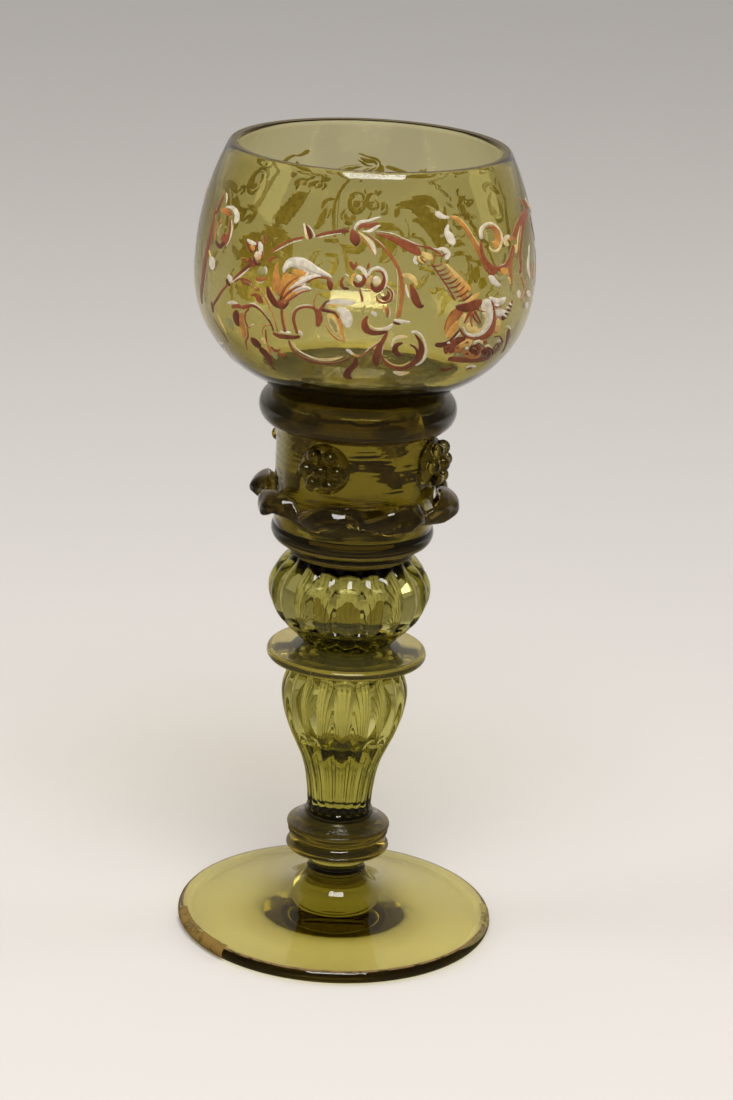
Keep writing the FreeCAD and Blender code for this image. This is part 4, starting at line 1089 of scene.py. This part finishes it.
    ("gg", 2, 459, 339, 34, 494, 347, 50, 544, 354, 32),
    ("oo", 9, 374, 343, 17, 422, 327, 31, 471, 320, 24),
    ("wy", 11, 407, 348, 8, 415, 370, 13, 444, 370, 7, 454, 356, 4),
    ("mm", 12, 394, 355, 13, 419, 342, 26, 437, 348, 19),
    ("rr", 13, 427, 367, 4, 448, 346, 11, 449, 323, 8),
    ("mm", 10, 461, 327, 9, 480, 344, 11, 519, 332, 5, 546, 307, 5),
    ("mm", 1, 506, 376, 5, 546, 370, 5, 586, 341, 6),
    ("mm", 0, 588, 388, 15, 607, 358, 24, 623, 323, 15, 631, 292, 7),
    ("ww", 1, 569, 400, 3, 590, 393, 8, 607, 382, 5),
    ("mm", 0, 298, 293, 5, 327, 280, 14, 368, 289, 6),
    ("ww", 0, 424, 273, 6, 440, 280, 13, 485, 269, 6),
    ("mm", 1, 433, 265, 5, 443, 271, 11, 466, 266, 5),
    ("mm", 10, 291, 383, 5, 297, 387, 12, 305, 383, 4),
    ("rr", 11, 334, 360, 5, 340, 364, 13, 349, 359, 4),
    ("mm", 10, 383, 334, 6, 389, 338, 14, 400, 332, 4),
    ("gg", 14, 408, 371, 5, 415, 374, 11, 425, 369, 3),
    ("rr", 11, 466, 342, 7, 473, 346, 15, 486, 340, 4),
    ("aa", 10, 303, 342, 5, 309, 346, 12, 317, 341, 3),
    ("mm", 11, 328, 379, 5, 334, 383, 12, 343, 378, 4),
    ("ww", 13, 374, 354, 5, 380, 358, 12, 390, 353, 3),
    ("mm", 14, 429, 326, 7, 436, 330, 16, 448, 324, 4),
    ("rr", 12, 455, 363, 7, 462, 367, 14, 474, 361, 4),
    ("mm", 10, 297, 362, 5, 302, 366, 13, 311, 361, 4),
    ("gg", 9, 342, 337, 5, 348, 341, 12, 357, 336, 3),
    ("rr", 11, 367, 374, 5, 374, 378, 13, 383, 373, 4),
    ("aa", 13, 418, 348, 6, 425, 352, 12, 436, 346, 3),
    ("mm", 10, 482, 317, 8, 489, 321, 17, 504, 314, 4),
    ("ww", 11, 292, 381, 4, 298, 385, 10, 306, 380, 3),
    ("mm", 15, 401, 354, 15, 410, 363, 12, 432, 351, 13, 426, 338, 13),
    ("mm", 12, 467, 324, 11, 483, 337, 14, 517, 322, 13, 511, 307, 14),
    ("mm", 3, 531, 332, 12, 539, 347, 11, 581, 325, 7),
    ("wy", 15, 405, 372, 8, 428, 376, 10, 450, 361, 6),
    ("wy", 12, 465, 351, 5, 486, 351, 8, 513, 338, 4),
    ("gw", 3, 516, 357, 12, 537, 360, 12, 562, 349, 5),
    ("ww", 1, 559, 471, 5, 573, 466, 9, 583, 461, 4),
    ("mm", 2, 562, 465, 4, 576, 460, 7, 586, 456, 3),
    ("ww", 1, 547, 461, 5, 561, 457, 9, 571, 452, 4),
    ("mm", 11, 550, 455, 4, 564, 451, 7, 574, 446, 3),
    ("ww", 11, 536, 452, 5, 550, 447, 8, 559, 443, 4),
    ("mm", 12, 539, 446, 4, 553, 441, 7, 562, 437, 3),
    ("ww", 11, 525, 442, 5, 539, 438, 8, 548, 433, 4),
    ("mm", 12, 528, 436, 4, 542, 431, 6, 552, 427, 3),
    ("rr", 12, 462, 489, 6, 473, 475, 9, 474, 462, 10),
    ("gg", 11, 404, 483, 3, 423, 448, 6, 420, 415, 4),
    ("rr", 12, 379, 468, 5, 397, 443, 6, 421, 428, 2),
]

wall_lengths = [0.0]
for here, there in zip(bowl_outside, bowl_outside[1:]):
    wall_lengths.append(wall_lengths[-1] + math.dist(here, there))


def on_bowl(degrees, rise, proud):
    """The place on the outside of the bowl, so far round, so far up the glass and so far out of it."""
    index = 1
    while index < len(wall_lengths) - 1 and wall_lengths[index] < rise:
        index += 1
    share = (rise - wall_lengths[index - 1]) / (wall_lengths[index] - wall_lengths[index - 1])
    (r0, z0), (r1, z1) = bowl_outside[index - 1], bowl_outside[index]
    length = math.hypot(r1 - r0, z1 - z0)
    radius = r0 + (r1 - r0) * share + proud * (z1 - z0) / length
    height = z0 + (z1 - z0) * share - proud * (r1 - r0) / length
    angle = math.radians(degrees)
    return Vector((radius * MM * math.sin(angle), -radius * MM * math.cos(angle), (bowl_mm + height) * MM))


def brush_stroke(colours, coat, *tenths):
    """A round drop of enamel drawn out along its line, flat on top and sunk a little in the glass."""
    places = [tuple(number / 10 for number in tenths[k:k + 3]) for k in range(0, len(tenths), 3)]
    line = places[:1] + round_line(places)
    rings = len(line) - 1
    radii = [on_bowl(degrees, rise, 0.0).to_2d().length / MM for degrees, rise, width in line]
    girth = [radius * math.radians(1.0) for radius in radii]
    run = [0.0]
    for here, there, around in zip(line, line[1:], girth):
        run.append(run[-1] + math.hypot((there[0] - here[0]) * around, there[1] - here[1]))
    bpy.ops.mesh.primitive_uv_sphere_add(
        segments=ENAMEL_SIDES, ring_count=rings, radius=1.0, location=(0, 0, 0),
    )
    stroke = bpy.context.object
    paint = stroke.data.attributes.new("paint", "FLOAT_COLOR", "POINT")
    first, last = [ENAMEL_PAINTS[key] for key in colours]
    proud = ENAMEL_THICKNESS + ENAMEL_COAT * coat
    for vertex in stroke.data.vertices:
        k = round(math.acos(max(-1.0, min(1.0, vertex.co.z))) / math.pi * rings)
        degrees, rise, width = line[k]
        before, after = line[max(k - 1, 0)], line[min(k + 1, rings)]
        run_round = (after[0] - before[0]) * girth[k]
        run_up = after[1] - before[1]
        length = math.hypot(run_round, run_up)
        wide = math.hypot(vertex.co.x, vertex.co.y)
        across, out = (vertex.co.x / wide, vertex.co.y / wide) if 0 < k < rings else (0.0, 0.0)
        to_end = min(run[k], run[-1] - run[k]) / (STROKE_END * width)
        half = across * width / 2 * min(1.0, math.sqrt(to_end))
        lift = proud * min(1.0, STROKE_FLATNESS * out) if out > 0 else ENAMEL_ROOT * out
        vertex.co = on_bowl(
            degrees - half * run_up / length / girth[k], rise + half * run_round / length, lift,
        )
        share = k / rings
        tone = [a + (b - a) * share for a, b in zip(first, last)] if out > -0.1 else ENAMEL_UNDERSIDE
        paint.data[vertex.index].color = (*tone, 1.0)
    return stroke


bpy.ops.object.select_all(action="DESELECT")
strokes = [brush_stroke(*stroke) for stroke in ENAMEL_STROKES]
for stroke in strokes:
    stroke.select_set(True)
bpy.context.view_layer.objects.active = strokes[0]
bpy.ops.object.join()
front_enamel = bpy.context.object
bpy.ops.object.mode_set(mode="EDIT")
bpy.ops.mesh.select_all(action="SELECT")
bpy.ops.mesh.normals_make_consistent(inside=False)
bpy.ops.object.mode_set(mode="OBJECT")
bpy.ops.object.duplicate()
back_enamel = bpy.context.object
back_enamel.data.transform(Matrix.Rotation(math.pi, 4, "Z"))

enamel, tree, shader, _ = new_material("enamel")
painted = add_node(tree, "Attribute", {}, attribute_name="paint")
place = add_node(tree, "TexCoord", {}).outputs["Object"]
streaks = add_node(tree, "TexNoise", {"Vector": place, "Scale": 700.0, "Detail": 3.0}).outputs["Fac"]
streak_tones = add_node(tree, "MapRange", {
    "Value": streaks, "From Min": 0.3, "From Max": 0.7, "To Min": 0.72, "To Max": 1.12,
})
shaded = add_node(tree, "VectorMath", {
    0: painted.outputs["Color"], "Scale": streak_tones.outputs["Result"],
}, operation="SCALE")
bump = add_node(tree, "Bump", {"Strength": 0.6, "Distance": 0.05 * MM, "Height": streaks})
fill(tree, shader, {"Base Color": shaded.outputs[0], "Roughness": 0.35, "Normal": bump.outputs["Normal"]})
for name, panel in (("front_scrollwork", front_enamel), ("back_scrollwork", back_enamel)):
    panel.name = name
    panel.data.materials.append(enamel)
    smooth(panel, 60)
    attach(panel, "root")

# Gilding: a thin worn band of fired gold on the lip, and what is left of the band on the rim of the foot,
# a golden brown patch at the left, a smaller one at the right and a thread of it all round.
GILDING_PROUD = 0.05
WORN_FROM = 0.62
WORN_TO = 0.50
WORN_ALPHA = 0.25
KEPT_SHARE = 0.3


def gilding(name, colour, keep, wear_size):
    """Old gold, rubbed away in spots where the noise is below the share that is kept."""
    material, tree, shader, _ = new_material(name)
    place = add_node(tree, "TexCoord", {}).outputs["Object"]
    wear = add_node(tree, "TexNoise", {"Vector": place, "Scale": wear_size, "Detail": 4.0}).outputs["Fac"]
    shift = keep * KEPT_SHARE
    left = add_node(tree, "MapRange", {
        "Value": wear, "From Min": WORN_FROM - shift, "From Max": WORN_TO - shift, "To Min": 1.0,
        "To Max": WORN_ALPHA,
    })
    tones = add_node(tree, "Mix", {
        "Factor": wear, "A": (*[c * 0.6 for c in colour], 1.0), "B": (*[c * 1.35 for c in colour], 1.0),
    }, data_type="RGBA")
    fill(tree, shader, {
        "Base Color": tones.outputs["Result"], "Metallic": 0.1, "Roughness": 0.5, "Specular IOR Level": 0.25,
        "Alpha": left.outputs["Result"],
    })
    return material


def gild(name, gold, line, turned_from=0.0, turned_to=360.0, steps=160):
    """A thin shell of gold on the line of an outline, all round or for some degrees."""
    proud, sunk = [], []
    for index, (radius, height) in enumerate(line):
        before, after = line[max(index - 1, 0)], line[min(index + 1, len(line) - 1)]
        length = math.dist(before, after)
        out, rise = (after[1] - before[1]) / length, (before[0] - after[0]) / length
        proud.append((radius + out * GILDING_PROUD, height + rise * GILDING_PROUD))
        sunk.append((radius - out * GILDING_PROUD, height - rise * GILDING_PROUD))
    points = [Vector((radius * MM, 0, height * MM)) for radius, height in proud + sunk[::-1] + proud[:1]]
    angle = math.radians(turned_to - turned_from)
    band = spin_line(name, points, steps, angle, merge=MM / 1000, ring=True)
    band.data.transform(Matrix.Rotation(math.radians(turned_to - 90), 4, "Z"))
    smooth(band, 50)
    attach(band, "root")
    band.data.materials.append(gold)


lip_line = [(radius, bowl_mm + height) for radius, height in arc(LIP_OUTSIDE, *LIP_ROUND)[1:7]]
gild("worn_lip_gilding", gilding("lip_gold", (0.120, 0.094, 0.052), 0.9, 400.0), lip_line)
rim_line = draw((48.9, 0.8), ((49.7, 2.2), (48.1, 4.4), 10), (47.0, 4.57))
foot_gold = gilding("foot_gold", (0.22, 0.130, 0.026), 0.5, 300.0)
gild("left_rim_gilding", foot_gold, rim_line, -82.0, -43.0, 32)
right_gold = gilding("right_gold", (0.30, 0.24, 0.07), 0.45, 300.0)
gild("right_rim_gilding", right_gold, rim_line[6:], 79.0, 97.0, 18)
thread_gold = gilding("thread_gold", (0.20, 0.12, 0.05), 0.35, 250.0)
gild("rim_gilding_thread", thread_gold, arc((49.7, 2.2), (49.1, 3.7), (48.1, 4.4), 12)[8:])
